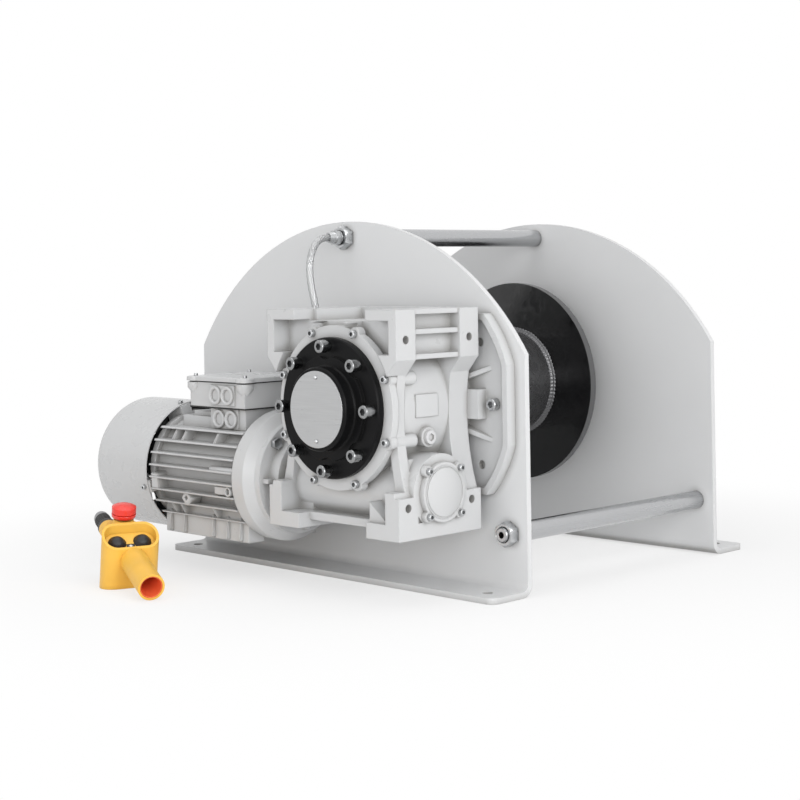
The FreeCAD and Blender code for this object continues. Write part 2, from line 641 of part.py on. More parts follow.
def flange_rib(angle):
    """A triangular rib from the flange's hub down to its lip."""
    rib = doc.addObject("Part::Wedge", "rib")
    inner, outer = "Size.wheel_hub_radius", "Size.flange_radius - 1.5 * Size.flange_lip"
    bind(rib, Xmin=inner, Xmax=outer, X2min=inner, X2max="2 * Size.flange_bore",
         Ymin="0", Ymax="Size.box_stand",
         Zmin="-Size.flange_rib / 2", Zmax="Size.flange_rib / 2", Z2min="-Size.flange_rib / 2",
         Z2max="Size.flange_rib / 2")
    c, s = math.cos(math.radians(angle)), math.sin(math.radians(angle))
    return place(rib, GEARBOX_X, NEAR_FACE, "Size.drum_height",
                 FreeCAD.Rotation(V(c, 0, s), V(0, -1, 0), V(s, 0, -c), "XYZ"))


def gearbox_flange():
    """A flat-sided ribbed plate with a raised lip, between the gearbox and the near side plate."""
    disc = flange_disc("Size.flange_radius", "Size.flange_flat", "Size.flange_rise", NEAR_FACE,
                       "Size.flange_rim_depth")
    dish = flange_disc("Size.flange_radius - Size.flange_lip", "Size.flange_flat - Size.flange_lip",
                       "Size.flange_rise - Size.flange_lip", f"({NEAR_FACE} - Size.flange_thick)",
                       "Size.flange_rim_depth")
    hub = rod("2 * Size.flange_bore", "Size.box_stand", GEARBOX_X, NEAR_FACE, "Size.drum_height", TO_MINUS_Y)
    ribs = [flange_rib(angle + side * 20) for angle in flange_bolt_angles() for side in (-1, 1)]
    step = "Size.flange_bolt_circle - 2 * Size.flange_bolt_head"
    blocks = [box(span, (f"{NEAR_FACE} - Size.box_stand", NEAR_FACE), (above_axis("-Size.boss_rise"),
              above_axis("Size.boss_rise"))) for span in both_sides("Size.wheel_hub_radius", step)]
    bore = rod("Size.flange_bore", "Size.box_stand", GEARBOX_X, NEAR_FACE, "Size.drum_height", TO_MINUS_Y)
    holes = [rod("Size.flange_bolt_radius + Size.seat_gap", "Size.flange_rim_depth",
                 from_axis(f"Size.flange_bolt_circle * cos({a})"), NEAR_FACE,
                 above_axis(f"Size.flange_bolt_circle * sin({a})"), TO_MINUS_Y)
             for a in flange_bolt_angles() + flange_hole_angles()]
    keep(cut(fuse(cut(disc, dish), hub, *ribs, *blocks), bore, *holes), "gearbox_flange")
    head = socket_head(num("Size.flange_bolt_head"), num("Size.flange_bolt_head_height"))
    bolt = with_shank(head, num("Size.flange_bolt_radius"), num("Size.flange_thick + Size.plate_thick"))
    lift = V(0, -num("Size.flange_thick"), 0)
    group("gearbox_flange_bolts", [placed(bolt, on_flange(a) + lift, TO_MINUS_Y)
                                   for a in flange_bolt_angles()])


def case_frame(y):
    """One end frame of the casing: ears above, hollow flanks and shoes below, its back at y."""
    side, neck = "Size.box_half_width", "(Size.box_half_width - Size.waist)"
    step = "(Size.box_half_width - Size.rib_thick)"
    pad_foot, low = "(Size.box_top - Size.pad_height)", "-Size.box_bottom"
    ear = f"({pad_foot} - Size.waist_drop)"
    flank = ("Size.flank_radius", "right")
    right = [(side, low), (side, CASE_SHOE), (step, CASE_SHOE, *flank), (neck, ear), (side, pad_foot),
             (side, "Size.box_top")]
    left = [(f"-{side}", "Size.box_top"), (f"-{side}", pad_foot), (f"-{neck}", ear, *flank),
            (f"-{step}", CASE_SHOE), (f"-{side}", CASE_SHOE), (f"-{side}", low)]
    return case_slab(right + left, y, "Size.pad_depth")


def case_slab(corners, y, depth):
    """An outline round the wheel axis, carried forward from y by a depth."""
    body = doc.addObject("PartDesign::Body", "case_slab")
    sketch = new_sketch(body, "XY_Plane")
    outline(sketch, corners)
    pad(body, sketch, depth)
    return place(body, GEARBOX_X, y, "Size.drum_height", TO_MINUS_Y)


def lower_pocket():
    """The open room in the front frame round the worm tube, with a small web left in its right foot."""
    wide = "(Size.box_half_width - Size.case_lip - Size.box_wall)"
    narrow = "(Size.box_half_width - Size.waist - 2 * Size.box_wall)"
    right = [(wide, CASE_FLOOR), (wide, CASE_SHOE), (narrow, "-Size.waist"), (narrow, "0")]
    left = [(f"-{x}", z) for x, z in reversed(right)]
    root = "(Size.box_half_width - Size.shoe_width)"
    web = case_slab([(root, CASE_FLOOR), (f"{root} + Size.gusset_width", CASE_FLOOR),
                     (root, f"{CASE_FLOOR} + Size.gusset_rise")],
                    FRAME_BACK, "Size.pad_depth - Size.rib_thick")
    return cut(case_slab(right + left, FRAME_BACK, "Size.pad_depth"), wheel_case(), worm_tube(), web)


def ear_pockets():
    """Hollows in the front and back of the four ears, clear of the round wheel case."""
    height = (above_axis("Size.box_top - Size.pad_height + Size.rib_thick"),
              above_axis("Size.box_top - Size.case_lip"))
    depth = "(Size.pad_depth - Size.rib_thick)"
    return [cut(box(span, y, height), wheel_case())
            for span in both_sides("Size.wheel_hub_radius", "Size.box_half_width - Size.case_lip")
            for y in ((BOX_FRONT, f"{BOX_FRONT} + {depth}"), (f"{BOX_BACK} - {depth}", BOX_BACK))]


def pad_holes():
    """Blind fixing holes in the side pads, two above and two below on each side."""
    heights = (above_axis("Size.box_top - 0.6 * Size.pad_height"),
               above_axis(f"{CASE_SHOE} - 2 * Size.rib_thick"))
    depths = (f"{BOX_FRONT} + Size.pad_depth / 2", f"{BOX_BACK} - Size.pad_depth / 2")
    return [rod("Size.pad_hole_radius", "Size.box_wall", from_axis(x), y, z, TO_PLUS_X)
            for x in ("Size.box_half_width - Size.box_wall", "-Size.box_half_width")
            for y in depths for z in heights]


def worm_tube():
    return rod("Size.worm_case_radius", "2 * Size.box_half_width", BOX_LEFT, BOX_MIDDLE, WORM_Z, TO_PLUS_X)


def wheel_case():
    return rod("Size.wheel_case_radius", "Size.box_depth - Size.case_recess", GEARBOX_X, BOX_BACK,
               "Size.drum_height", TO_MINUS_Y)


def cover_lug_points(radius):
    """Places of the eight lugs round the side cover."""
    angles = [22.5 + 45 * i for i in range(8)]
    return [(from_axis(f"{radius} * cos({a})"), above_axis(f"{radius} * sin({a})")) for a in angles]


def gearbox_housing():
    """A cast case: wheel drum, worm tube and two waisted end frames tied by ribs and corner blocks."""
    open_front = [lower_pocket(), *ear_pockets(), *pad_holes(), *case_openings()]
    rooms = [rod("Size.wheel_room", "Size.box_depth - Size.case_recess - Size.back_wall", GEARBOX_X,
                 CASE_FRONT, "Size.drum_height", TO_PLUS_Y),
             rod("Size.bearing_radius + Size.seat_gap", "Size.back_wall", GEARBOX_X,
                 f"{BOX_BACK} - Size.back_wall", "Size.drum_height", TO_PLUS_Y),
             rod("Size.worm_bore", "2 * Size.box_half_width", BOX_LEFT, BOX_MIDDLE, WORM_Z, TO_PLUS_X)]
    keep(cut(fuse(*case_solids()), *open_front, *rooms), "gearbox_housing")


def worm_walls():
    """A wall on each side between the end frames, closing the case round the worm tube's ends."""
    inner = "(Size.wheel_case_radius - 2.5 * Size.box_wall)"
    outer = "(Size.box_half_width - Size.rib_thick / 2)"
    low, top = "-Size.box_bottom", "-(Size.centre_distance - Size.worm_case_radius + Size.rib_thick)"
    right = [(inner, low), (outer, low), (outer, CASE_SHOE), ("Size.wheel_case_radius", top), (inner, top)]
    left = [(f"-{x}", z) for x, z in reversed(right)]
    return [case_slab(corners, f"({BOX_BACK} - Size.pad_depth)", "Size.box_depth - 2 * Size.pad_depth")
            for corners in (right, left)]


def case_solids():
    """Everything cast on: frames, wheel drum, worm tube, ribs, saddle, floor, pad, plug boss and lugs."""
    between = (FRAME_BACK, f"({BOX_BACK} - Size.pad_depth)")
    inner = "(Size.box_half_width - Size.pad_height)"
    top, pad_foot = above_axis("Size.box_top"), above_axis("(Size.box_top - Size.pad_height)")
    solids = [case_frame(BOX_BACK), case_frame(FRAME_BACK), wheel_case(), worm_tube()]
    for span in both_sides(inner, "Size.box_half_width - Size.waist"):
        solids.append(box(span, between, (pad_foot, top)))
    for span in both_sides(inner, "Size.box_half_width - Size.rib_thick / 2"):
        for rib_top in (top, f"({top} + {pad_foot}) / 2 + Size.rib_thick", f"{pad_foot} + Size.rib_thick"):
            solids.append(box(span, between, (f"{rib_top} - Size.rib_thick", rib_top)))
    solids.append(box((from_axis(f"-{inner}"), from_axis(inner)), between,
                      (above_axis("Size.wheel_case_radius - Size.rib_thick"), f"{top} - Size.saddle_drop")))
    solids.append(box((BOX_LEFT, BOX_RIGHT), between,
                      (above_axis("-Size.box_bottom"), above_axis(CASE_FLOOR))))
    solids += worm_walls()
    half, lift, wide = "Size.plate_pad_height / 2", "Size.plate_pad_lift", "Size.plate_pad_width / 2"
    pad_face = from_axis("Size.wheel_case_radius + Size.pad_rise")
    solids.append(box((from_axis("Size.wheel_hub_radius"), pad_face),
                      (f"{BOX_MIDDLE} - {wide}", f"{BOX_MIDDLE} + {wide}"),
                      (above_axis(f"{lift} - {half}"), above_axis(f"{lift} + {half}"))))
    solids.append(rod("Size.oil_boss_radius", "Size.wheel_case_radius / 2 + Size.oil_boss_rise",
                      from_axis("Size.wheel_case_radius / 2"), BOX_MIDDLE, above_axis("-Size.oil_plug_drop"),
                      TO_PLUS_X))
    return solids + [rod("Size.lug_radius", "Size.pad_depth", x, CASE_FRONT, z, TO_PLUS_Y)
                     for x, z in cover_lug_points("Size.lug_circle")]


def case_openings():
    """The saddle between the front ears, the set-back flanks, the arch below and the side cover's seat."""
    low, over = above_axis("-Size.box_bottom"), "Size.arch_rise"
    feet = "(Size.box_half_width - Size.shoe_width)"
    middle = (from_axis(f"-{feet}"), from_axis(feet))
    saddle = box((from_axis("-Size.saddle"), from_axis("Size.saddle")), (f"{BOX_FRONT} - {over}", FRAME_BACK),
                 (above_axis("Size.box_top - Size.saddle_drop"), above_axis(f"Size.box_top + {over}")))
    flanks = box((f"{BOX_LEFT} - {over}", f"{BOX_RIGHT} + {over}"), (f"{BOX_FRONT} - {over}", CASE_FRONT),
                 (above_axis(f"{CASE_SHOE} + Size.rib_thick"),
                  above_axis("Size.box_top - Size.pad_height - Size.waist_drop")))
    arch = box(middle, (f"{BOX_FRONT} - {over}", f"{BOX_BACK} + {over}"),
               (f"{low} - {over}", f"{low} + {over}"))
    sill = box(middle, (f"{BOX_FRONT} - {over}", CASE_FRONT),
               (low, f"{above_axis(CASE_FLOOR)} + Size.rib_thick"))
    seat = rod("Size.lug_circle + Size.lug_radius + Size.cover_edge", "Size.case_recess", GEARBOX_X,
               BOX_FRONT, "Size.drum_height", TO_PLUS_Y)
    return [saddle, flanks, arch, sill, seat]


def cover_bolt_points():
    radius = "Size.cover_bolt_circle"
    angles = [45 * i for i in range(8)]
    return [(from_axis(f"{radius} * cos({a})"), above_axis(f"{radius} * sin({a})")) for a in angles]


def screws_at(label, screw, points, y):
    group(label, [placed(screw, V(num(x), num(y), num(z)), TO_MINUS_Y) for x, z in points])


def side_cover():
    """The round cover over the wheel, with a lug at each of its screws."""
    lug_points = cover_lug_points("Size.lug_circle")
    ring = rod("Size.side_cover_radius", "Size.side_cover_thick", GEARBOX_X, CASE_FRONT, "Size.drum_height",
               TO_MINUS_Y)
    spigot = rod("Size.wheel_room - Size.seat_gap", "Size.spigot", GEARBOX_X, CASE_FRONT, "Size.drum_height",
                 TO_PLUS_Y)
    lugs = [rod("Size.lug_radius", "Size.side_cover_thick", x, CASE_FRONT, z, TO_MINUS_Y)
            for x, z in lug_points]
    seat = rod("Size.bearing_radius + Size.seat_gap", "Size.side_cover_thick + Size.spigot", GEARBOX_X,
               f"{CASE_FRONT} + Size.spigot", "Size.drum_height", TO_MINUS_Y)
    keep(cut(fuse(ring, spigot, *lugs), seat), "gearbox_side_cover")
    screws_at("side_cover_screws", screw_head("Size.lug_screw_radius"), lug_points, COVER_SEAT)


def bearing_cover():
    """A black turned cover: bolt circle, stepped ring with a scallop at each bolt, and a flat hub."""
    ring_top = "Size.cover_thick + Size.cover_ring_height"
    hub_top = "Size.cover_thick + Size.cover_hub_height"
    blank = turned_blank([
        ("0", "0"), ("Size.cover_radius", "0"), ("Size.cover_radius", "Size.cover_thick - Size.cover_edge"),
        ("Size.cover_radius - Size.cover_edge", "Size.cover_thick"),
        ("Size.cover_ring_radius", "Size.cover_thick"),
        ("Size.cover_ring_radius", ring_top), ("Size.cover_hub_radius + Size.cover_edge", ring_top),
        ("Size.cover_hub_radius", f"{ring_top} + Size.cover_edge"),
        ("Size.cover_hub_radius", f"{hub_top} - Size.cover_edge"),
        ("Size.cover_hub_radius - Size.cover_edge", hub_top), ("0", hub_top)],
        x=GEARBOX_X, y=COVER_SEAT, z="Size.drum_height", turn=TO_MINUS_Y)
    scallops = [rod("2 * Size.cover_bolt_head", "Size.cover_ring_height", x, COVER_FACE, z, TO_MINUS_Y)
                for x, z in cover_bolt_points()]
    keep(cut(blank, *scallops), "bearing_cover")
    sleeve = num("Size.cover_bolt_reach - Size.cover_bolt_head * 1.2")
    spacer = Part.makeCylinder(num("Size.cover_bolt_head * 0.85"), sleeve)
    screw = screw_head("Size.cover_bolt_head")
    screw.translate(V(0, 0, sleeve))
    screws_at("bearing_cover_bolts", spacer.fuse(screw).removeSplitter(), cover_bolt_points(), COVER_FACE)
    badge = rod("Size.badge_radius", "Size.badge_thick", GEARBOX_X, HUB_FACE, "Size.drum_height", TO_MINUS_Y)
    keep(badge, "nameplate")
    reach = "(Size.badge_radius - 3 * Size.badge_screw_radius)"
    dome = Part.makeSphere(num("Size.badge_screw_radius"), V(), V(0, 0, 1), 0, 90, 360)
    screws_at("nameplate_screws", dome, [(GEARBOX_X, above_axis(f"{side}{reach}")) for side in ("", "-")],
              f"{HUB_FACE} - Size.badge_thick")


def worm_cover():
    """The round cover on the worm's free end, with four lugs, and the oil plug above it."""
    disc = rod("Size.worm_cover_radius", "Size.worm_cover_thick", BOX_RIGHT, BOX_MIDDLE, WORM_Z, TO_PLUS_X)
    points = [(f"{BOX_MIDDLE} + Size.worm_cover_screw_circle * cos({a})",
               f"{WORM_Z} + Size.worm_cover_screw_circle * sin({a})") for a in (45, 135, 225, 315)]
    lugs = [rod("Size.worm_cover_lug", "Size.worm_cover_thick", BOX_RIGHT, y, z, TO_PLUS_X)
            for y, z in points]
    keep(fuse(disc, *lugs), "worm_end_cover")
    head = screw_head("Size.worm_cover_screw_radius")
    face = num(f"{BOX_RIGHT} + Size.worm_cover_thick")
    group("worm_cover_screws", [placed(head, V(face, num(y), num(z)), TO_PLUS_X) for y, z in points])
    plug = socket_head(num("Size.oil_plug_radius"), num("Size.oil_plug_head"))
    spot = V(num(from_axis("Size.wheel_case_radius + Size.oil_boss_rise")), num(BOX_MIDDLE),
             num(above_axis("-Size.oil_plug_drop")))
    group("oil_plug", [placed(plug, spot, TO_PLUS_X)])


def output_train():
    """Worm wheel and pinion on the slow shaft, in bearings in the case and its side cover."""
    pinion_back = f"(-{RIM_OUT} - (Size.gear_width - Size.pinion_width) / 2)"
    front_end = f"({COVER_SEAT} + Size.cover_edge)"
    keep(rod("Size.shaft_radius", f"{pinion_back} - {front_end}", GEARBOX_X, pinion_back, "Size.drum_height",
             TO_MINUS_Y), "output_shaft")
    teeth, tip = round(num("Size.wheel_teeth")), num("Size.wheel_tip_radius")
    module = 2 * tip / (teeth + 2)
    rim = gear_section(teeth, module, 1, num("Size.backlash"), 0).extrude(V(0, 0, num("Size.wheel_width")))
    hub = Part.makeCylinder(num("Size.wheel_hub_radius"), num("Size.wheel_hub_width"),
                            V(0, 0, num("(Size.wheel_width - Size.wheel_hub_width) / 2")))
    bore = Part.makeCylinder(num("Size.shaft_radius + Size.seat_gap"), num("2 * Size.wheel_hub_width"),
                             V(0, 0, -num("Size.wheel_hub_width")))
    wheel = rim.fuse(hub).cut(bore)
    back = V(num(GEARBOX_X), num(f"{BOX_MIDDLE} + Size.wheel_width / 2"), num("Size.drum_height"))
    group("worm_wheel", [placed(wheel, back, TO_MINUS_Y)])
    ring = bearing_ring("Size.shaft_radius + Size.running_gap", "Size.bearing_radius",
                        "Size.output_bearing_width")
    group("output_bearings", [placed(ring, V(num(GEARBOX_X), num(y), num("Size.drum_height")), TO_MINUS_Y)
                              for y in (BOX_BACK, f"{COVER_SEAT} + Size.output_bearing_width")])


# Brake motor, in places counted along the worm axis


def on_worm(label, corners, x):
    """A turned piece on the worm axis; heights count from x towards the fan."""
    return turned(label, corners, x=x, y=BOX_MIDDLE, z=WORM_Z, turn=TO_MINUS_X)


def motor_rod(radius, length, x, y="0", z="0"):
    return rod(radius, length, x, f"{BOX_MIDDLE} + {y}", f"{WORM_Z} + {z}", TO_MINUS_X)


def drive_end():
    """The drive end shield: a neck on the case, a bolting flange on four webs and a smooth band."""
    flange_back = "Size.motor_neck + Size.motor_flange_thick"
    band_front, end = f"{flange_back} + Size.motor_taper", f"{BOX_LEFT} - {STATOR_X}"
    seat, room = "Size.motor_bearing_radius + Size.seat_gap", "Size.stator_bore - Size.stator_wall"
    blank = turned_blank([
        (seat, "0"), ("Size.motor_neck_radius", "0"), ("Size.motor_neck_radius", "Size.motor_neck"),
        ("Size.motor_flange_radius", "Size.motor_neck"), ("Size.motor_flange_radius", flange_back),
        ("Size.motor_band_radius", band_front), ("Size.motor_band_radius", end), (room, end),
        (room, flange_back), (seat, flange_back)], x=BOX_LEFT, y=BOX_MIDDLE, z=WORM_Z, turn=TO_MINUS_X)
    span = (f"{BOX_LEFT} - Size.motor_neck", f"{BOX_LEFT} - Size.motor_gusset")
    reach, half = "(Size.motor_flange_radius - Size.motor_gusset)", "Size.motor_gusset / 2"
    webs = [box(span, (f"{BOX_MIDDLE} - {y}", f"{BOX_MIDDLE} + {y}"), (f"{WORM_Z} - {z}", f"{WORM_Z} + {z}"))
            for y, z in ((reach, half), (half, reach))]
    keep(cut(fuse(blank, *webs), motor_rod(seat, "Size.motor_neck", BOX_LEFT)), "drive_end_shield")
    bolt = prism(num("Size.motor_bolt_across"), num("Size.motor_bolt_head"))
    face = V(num(f"{BOX_LEFT} - Size.motor_neck"), num(BOX_MIDDLE), num(WORM_Z))
    spots = FreeCAD.Placement(face, TO_PLUS_X)
    group("motor_flange_bolts", [placed(bolt, spots.multVec(point), TO_PLUS_X)
                                 for point in ring_points(4, num("Size.motor_bolt_circle"), 45)])


def stator():
    """A finned barrel on two foot pads, with a stepped crown beside the terminal box, round a wound core."""
    length = "Size.stator_length"
    barrel = motor_rod("Size.stator_bore + Size.stator_wall", length, STATOR_X)
    envelope = motor_rod("Size.fin_radius", length, STATOR_X)
    count = round(num("Size.fin_count"))
    along = (f"{STATOR_X} - {length}", STATOR_X)
    plates = []
    for i in range(count):
        z = f"{WORM_Z} + ({i} - {count - 1} / 2) * Size.fin_pitch"
        plates.append(box(along, (f"{BOX_MIDDLE} - Size.fin_radius", f"{BOX_MIDDLE} + Size.fin_radius"),
                          (f"{z} - Size.fin_thick / 2", f"{z} + Size.fin_thick / 2")))
    sides = (("Size.motor_foot_in", "Size.motor_foot_out"), ("-Size.motor_foot_out", "-Size.motor_foot_in"))
    height = (f"{WORM_Z} - Size.motor_foot_drop", f"{WORM_Z} - Size.stator_bore / 2")
    feet = [box(along, (f"{BOX_MIDDLE} + {low}", f"{BOX_MIDDLE} + {high}"), height) for low, high in sides]
    bore = motor_rod("Size.stator_bore", length, STATOR_X)
    solid = fuse(common(fuse(barrel, *plates), envelope), *feet, *stator_crown())
    keep(cut(solid, bore), "stator_housing")
    core_start = f"({STATOR_X} - (Size.stator_length - Size.core_length) / 2)"
    inside, outside = "Size.rotor_radius + Size.air_gap", "Size.stator_bore - Size.seat_gap"
    on_worm("stator_core", [(inside, "0"), (outside, "0"), (outside, "Size.core_length"),
                            (inside, "Size.core_length")], core_start)
    rotor(core_start)


def stator_crown():
    """Two stepped pads over the barrel, between the terminal box's base and the fan end."""
    right = f"({TBOX_RIGHT} - Size.tbox_width + Size.tbase_left - Size.rib_thick)"
    front = f"({TBOX_FRONT} + 2 * Size.tbase_inset)"
    back = f"({TBOX_FRONT} + Size.tbox_depth - 2 * Size.tbase_inset)"
    pads = []
    for step in (0, 1):
        left = f"({SHIELD_X} + (1 + {step}) * Size.crown_inset)"
        rise = f"{step} * Size.crown_step"
        pads.append(box((left, right), (f"{front} + {rise}", f"{back} - {rise}"),
                        (f"{WORM_Z} + Size.stator_bore / 2", f"{WORM_Z} + Size.crown_rise + {rise}")))
    return pads


def rotor(core_start):
    """Motor shaft with its cage, the worm, the brake disc and the fan, all on one line."""
    shaft_end = f"({BRAKE_BACK} - Size.fan_setback)"
    start = f"({BOX_RIGHT} - Size.worm_bearing_inset + Size.worm_bearing_width / 2)"
    inner_bearing = f"({BOX_LEFT} + Size.worm_bearing_inset + Size.worm_bearing_width)"
    shaft = motor_rod("Size.worm_journal", f"{start} - {shaft_end}", start)
    reach = "(Size.worm_bearing_width + Size.thrust_gap)"
    worm = motor_rod("Size.worm_radius", f"{start} - {inner_bearing} - 2 * {reach}", f"{start} - {reach}")
    keep(fuse(shaft, worm), "worm_shaft")
    bore, out = "Size.worm_journal + Size.seat_gap", "Size.rotor_radius"
    on_worm("rotor_cage", [(bore, "0"), (out, "0"), (out, "Size.core_length"), (bore, "Size.core_length")],
            core_start)
    disc, thick = "Size.brake_disc_radius", "Size.brake_disc_thick"
    on_worm("brake_disc", [(bore, "0"), (disc, "0"), (disc, thick), (bore, thick)],
            f"({SHIELD_BACK} - Size.brake_gap)")
    fan()
    journal = "Size.worm_journal + Size.running_gap"
    worm_ring = bearing_ring(journal, "Size.worm_bore - Size.seat_gap", "Size.worm_bearing_width")
    motor_ring = bearing_ring(journal, "Size.motor_bearing_radius", "Size.worm_bearing_width")
    rings = [(worm_ring, start), (worm_ring, f"{inner_bearing} + Size.worm_bearing_width"),
             (motor_ring, f"{BOX_LEFT} - Size.motor_neck / 2"),
             (motor_ring, f"{SHIELD_BACK} + Size.brake_gap + Size.worm_bearing_width")]
    group("rotor_bearings", [placed(ring, V(num(x), num(BOX_MIDDLE), num(WORM_Z)), TO_MINUS_X)
                             for ring, x in rings])


def fan():
    """A moulded hub with straight radial blades."""
    start = f"({BRAKE_BACK} - Size.fan_setback + Size.fan_width)"
    hub = Part.makeCylinder(num("Size.fan_hub_radius"), num("Size.fan_width"))
    reach, thick = num("Size.fan_radius"), num("Size.fan_blade")
    for i in range(round(num("Size.fan_blades"))):
        blade = Part.makeBox(reach, thick, num("Size.fan_width"), V(0, -thick / 2, 0))
        blade.rotate(V(), V(0, 0, 1), 360 / round(num("Size.fan_blades")) * i)
        hub = hub.fuse(blade)
    bore = Part.makeCylinder(num("Size.worm_journal + Size.seat_gap"), num("Size.fan_width"))
    spot = V(num(start), num(BOX_MIDDLE), num(WORM_Z))
    group("motor_fan", [placed(hub.cut(bore).removeSplitter(), spot, TO_MINUS_X)])


def brake_end():
    """The rear shield with lugs for the cowl, the brake magnet on studs, and the fan cowl."""
    seat = "Size.motor_bearing_radius + Size.seat_gap"
    disc = turned_blank([(seat, "0"), ("Size.shield_radius", "0"),
                         ("Size.shield_radius", "Size.shield_thick"),
                         ("Size.worm_journal + 2 * Size.brake_gap", "Size.shield_thick"),
                         ("Size.worm_journal + 2 * Size.brake_gap", "Size.shield_thick - Size.brake_gap"),
                         (seat, "Size.shield_thick - Size.brake_gap")],
                        x=SHIELD_X, y=BOX_MIDDLE, z=WORM_Z, turn=TO_MINUS_X)
    inner = "(Size.cowl_radius - Size.cowl_wall - Size.seat_gap)"
    half = "Size.cowl_lug_width / 2"
    arms = fuse(*[cross_arm(inner, half, f"(Size.cowl_lug_turn + {turn})") for turn in (0, 90)])
    lugs = cut(common(arms, motor_rod(inner, "Size.cowl_lug_reach", SHIELD_X)),
               motor_rod("Size.brake_radius + Size.lug_radius", "Size.cowl_lug_reach", SHIELD_X))
    keep(fuse(disc, lugs), "rear_end_shield")
    brake_magnet()
    fan_cowl()


def cross_arm(reach, half, angle):
    """A bar across the motor axis, turned about it, from the rear shield towards the cowl."""
    bar = doc.addObject("Part::Box", "bar")
    bind(bar, Length="Size.cowl_lug_reach", Width=f"2 * {reach}", Height=f"2 * {half}")
    return place(bar, f"{SHIELD_X} - Size.cowl_lug_reach",
                 f"{BOX_MIDDLE} - {reach} * cos({angle}) + {half} * sin({angle})",
                 f"{WORM_Z} - {reach} * sin({angle}) - {half} * cos({angle})",
                 FreeCAD.Rotation(V(1, 0, 0), num(angle)))


def brake_magnet():
    ring = turned_blank([("Size.worm_journal + 2 * Size.brake_gap", "0"), ("Size.brake_radius", "0"),
                         ("Size.brake_radius", "Size.brake_length"),
                         ("Size.worm_journal + 2 * Size.brake_gap", "Size.brake_length")],
                        x=BRAKE_X, y=BOX_MIDDLE, z=WORM_Z, turn=TO_MINUS_X)
    studs = [motor_rod("Size.brake_stud_radius", f"{SHIELD_BACK} - {BRAKE_X}", SHIELD_BACK,
                       f"Size.brake_stud_circle * cos({a})", f"Size.brake_stud_circle * sin({a})")
             for a in (45, 165, 285)]
    keep(fuse(ring, *studs), "brake_magnet")


def fan_cowl():
    """A spun sheet cowl with a rounded end and rings of air slots in its back."""
    body = new_body("fan_cowl")
    wall, out, bend = "Size.cowl_wall", "Size.cowl_radius", "Size.cowl_round"
    end = "Size.cowl_length"
    revolve(body, [(f"{out} - {wall}", "0"), (out, "0"), (out, f"{end} - {bend}", bend, "left"),
                   (f"{out} - {bend}", end), ("0", end), ("0", f"{end} - {wall}"),
                   (f"{out} - {bend}", f"{end} - {wall}", f"{bend} - {wall}", "right"),
                   (f"{out} - {wall}", f"{end} - {bend}")])
    doc.recompute()
    slot = pocket(body, "XY_Plane", vent_slot, both_ways=True)
    around_z(body, [slot], 24)
    place(body, COWL_X, BOX_MIDDLE, WORM_Z, TO_MINUS_X)
    head = screw_head("Size.cowl_screw_radius")
    out_radius = num(out)
    middle = V(num(f"{COWL_X} - Size.cowl_screw_radius * 2"), num(BOX_MIDDLE), num(WORM_Z))
    heads = []
    for quarter in range(4):
        turn = FreeCAD.Rotation(V(1, 0, 0), num("Size.cowl_lug_turn") + 90 * quarter)
        heads.append(placed(head, middle + turn.multVec(V(0, 0, out_radius)), turn))
    group("fan_cowl_screws", heads)


def vent_slot(sketch):
    inner, outer, half = "Size.fan_hub_radius", "Size.vent_ring", "Size.fan_blade"
    outline(sketch, [(inner, f"-{half} / 2"), (outer, f"-{half}"), (outer, half), (inner, f"{half} / 2")])


# Terminal box, glands and the braided cable


def terminal_box():
    """A box on a neck over the stator, with a flat lid and cable knockouts on its front."""
    left, right = f"({TBOX_RIGHT} - Size.tbox_width)", TBOX_RIGHT
    front, back = TBOX_FRONT, f"({TBOX_FRONT} + Size.tbox_depth)"
    inset = "Size.tbase_inset"
    neck = box((f"{left} + Size.tbase_left", f"{right} - {inset}"),
               (f"{front} + {inset}", f"{back} - {inset}"), (FIN_TOP, TBOX_BOTTOM))
    entries = knockouts(f"({front} + {inset})", f"(({FIN_TOP} + {TBOX_BOTTOM}) / 2)")
    barrel = motor_rod("Size.stator_bore + Size.stator_wall", "Size.stator_length", STATOR_X)
    keep(cut(fuse(neck, *entries), barrel), "terminal_neck")
    wall = "Size.tbox_wall"
    shell = box((left, right), (front, back), (TBOX_BOTTOM, TBOX_TOP))
    room = box((f"{left} + {wall}", f"{right} - {wall}"), (f"{front} + {wall}", f"{back} - {wall}"),
               (f"{TBOX_BOTTOM} + {wall}", TBOX_TOP))
    posts = [box((x, f"{x} + Size.lid_post"), (y, f"{y} + Size.lid_post"), (TBOX_BOTTOM, TBOX_TOP))
             for x in (left, f"({right} - Size.lid_post)") for y in (front, f"({back} - Size.lid_post)")]
    entries = knockouts(front, f"(({TBOX_BOTTOM} + {TBOX_TOP}) / 2)")
    keep(fuse(cut(shell, room), *posts, *entries), "terminal_box")
    terminal_lid(left, right, front, back)


def knockouts(front, z):
    """A raised plate on a front wall, with two rings round blind cable entries."""
    start, pitch = f"({TBOX_RIGHT} - Size.tbox_width / 2)", "2.2 * Size.knockout_radius"
    margin = "1.15 * Size.knockout_radius"
    face = f"({front} - Size.knockout_plate)"
    plate = box((f"{start} - {margin}", f"{start} + {pitch} + {margin}"), (face, front),
                (f"{z} - {margin}", f"{z} + {margin}"))
    rings = []
    for x in (start, f"{start} + {pitch}"):
        boss = rod("Size.knockout_radius", "Size.knockout_relief", x, face, z, TO_MINUS_Y)
        eye = rod("0.7 * Size.knockout_radius", "Size.knockout_relief", x, face, z, TO_MINUS_Y)
        rings.append(cut(boss, eye))
    return [plate, *rings]


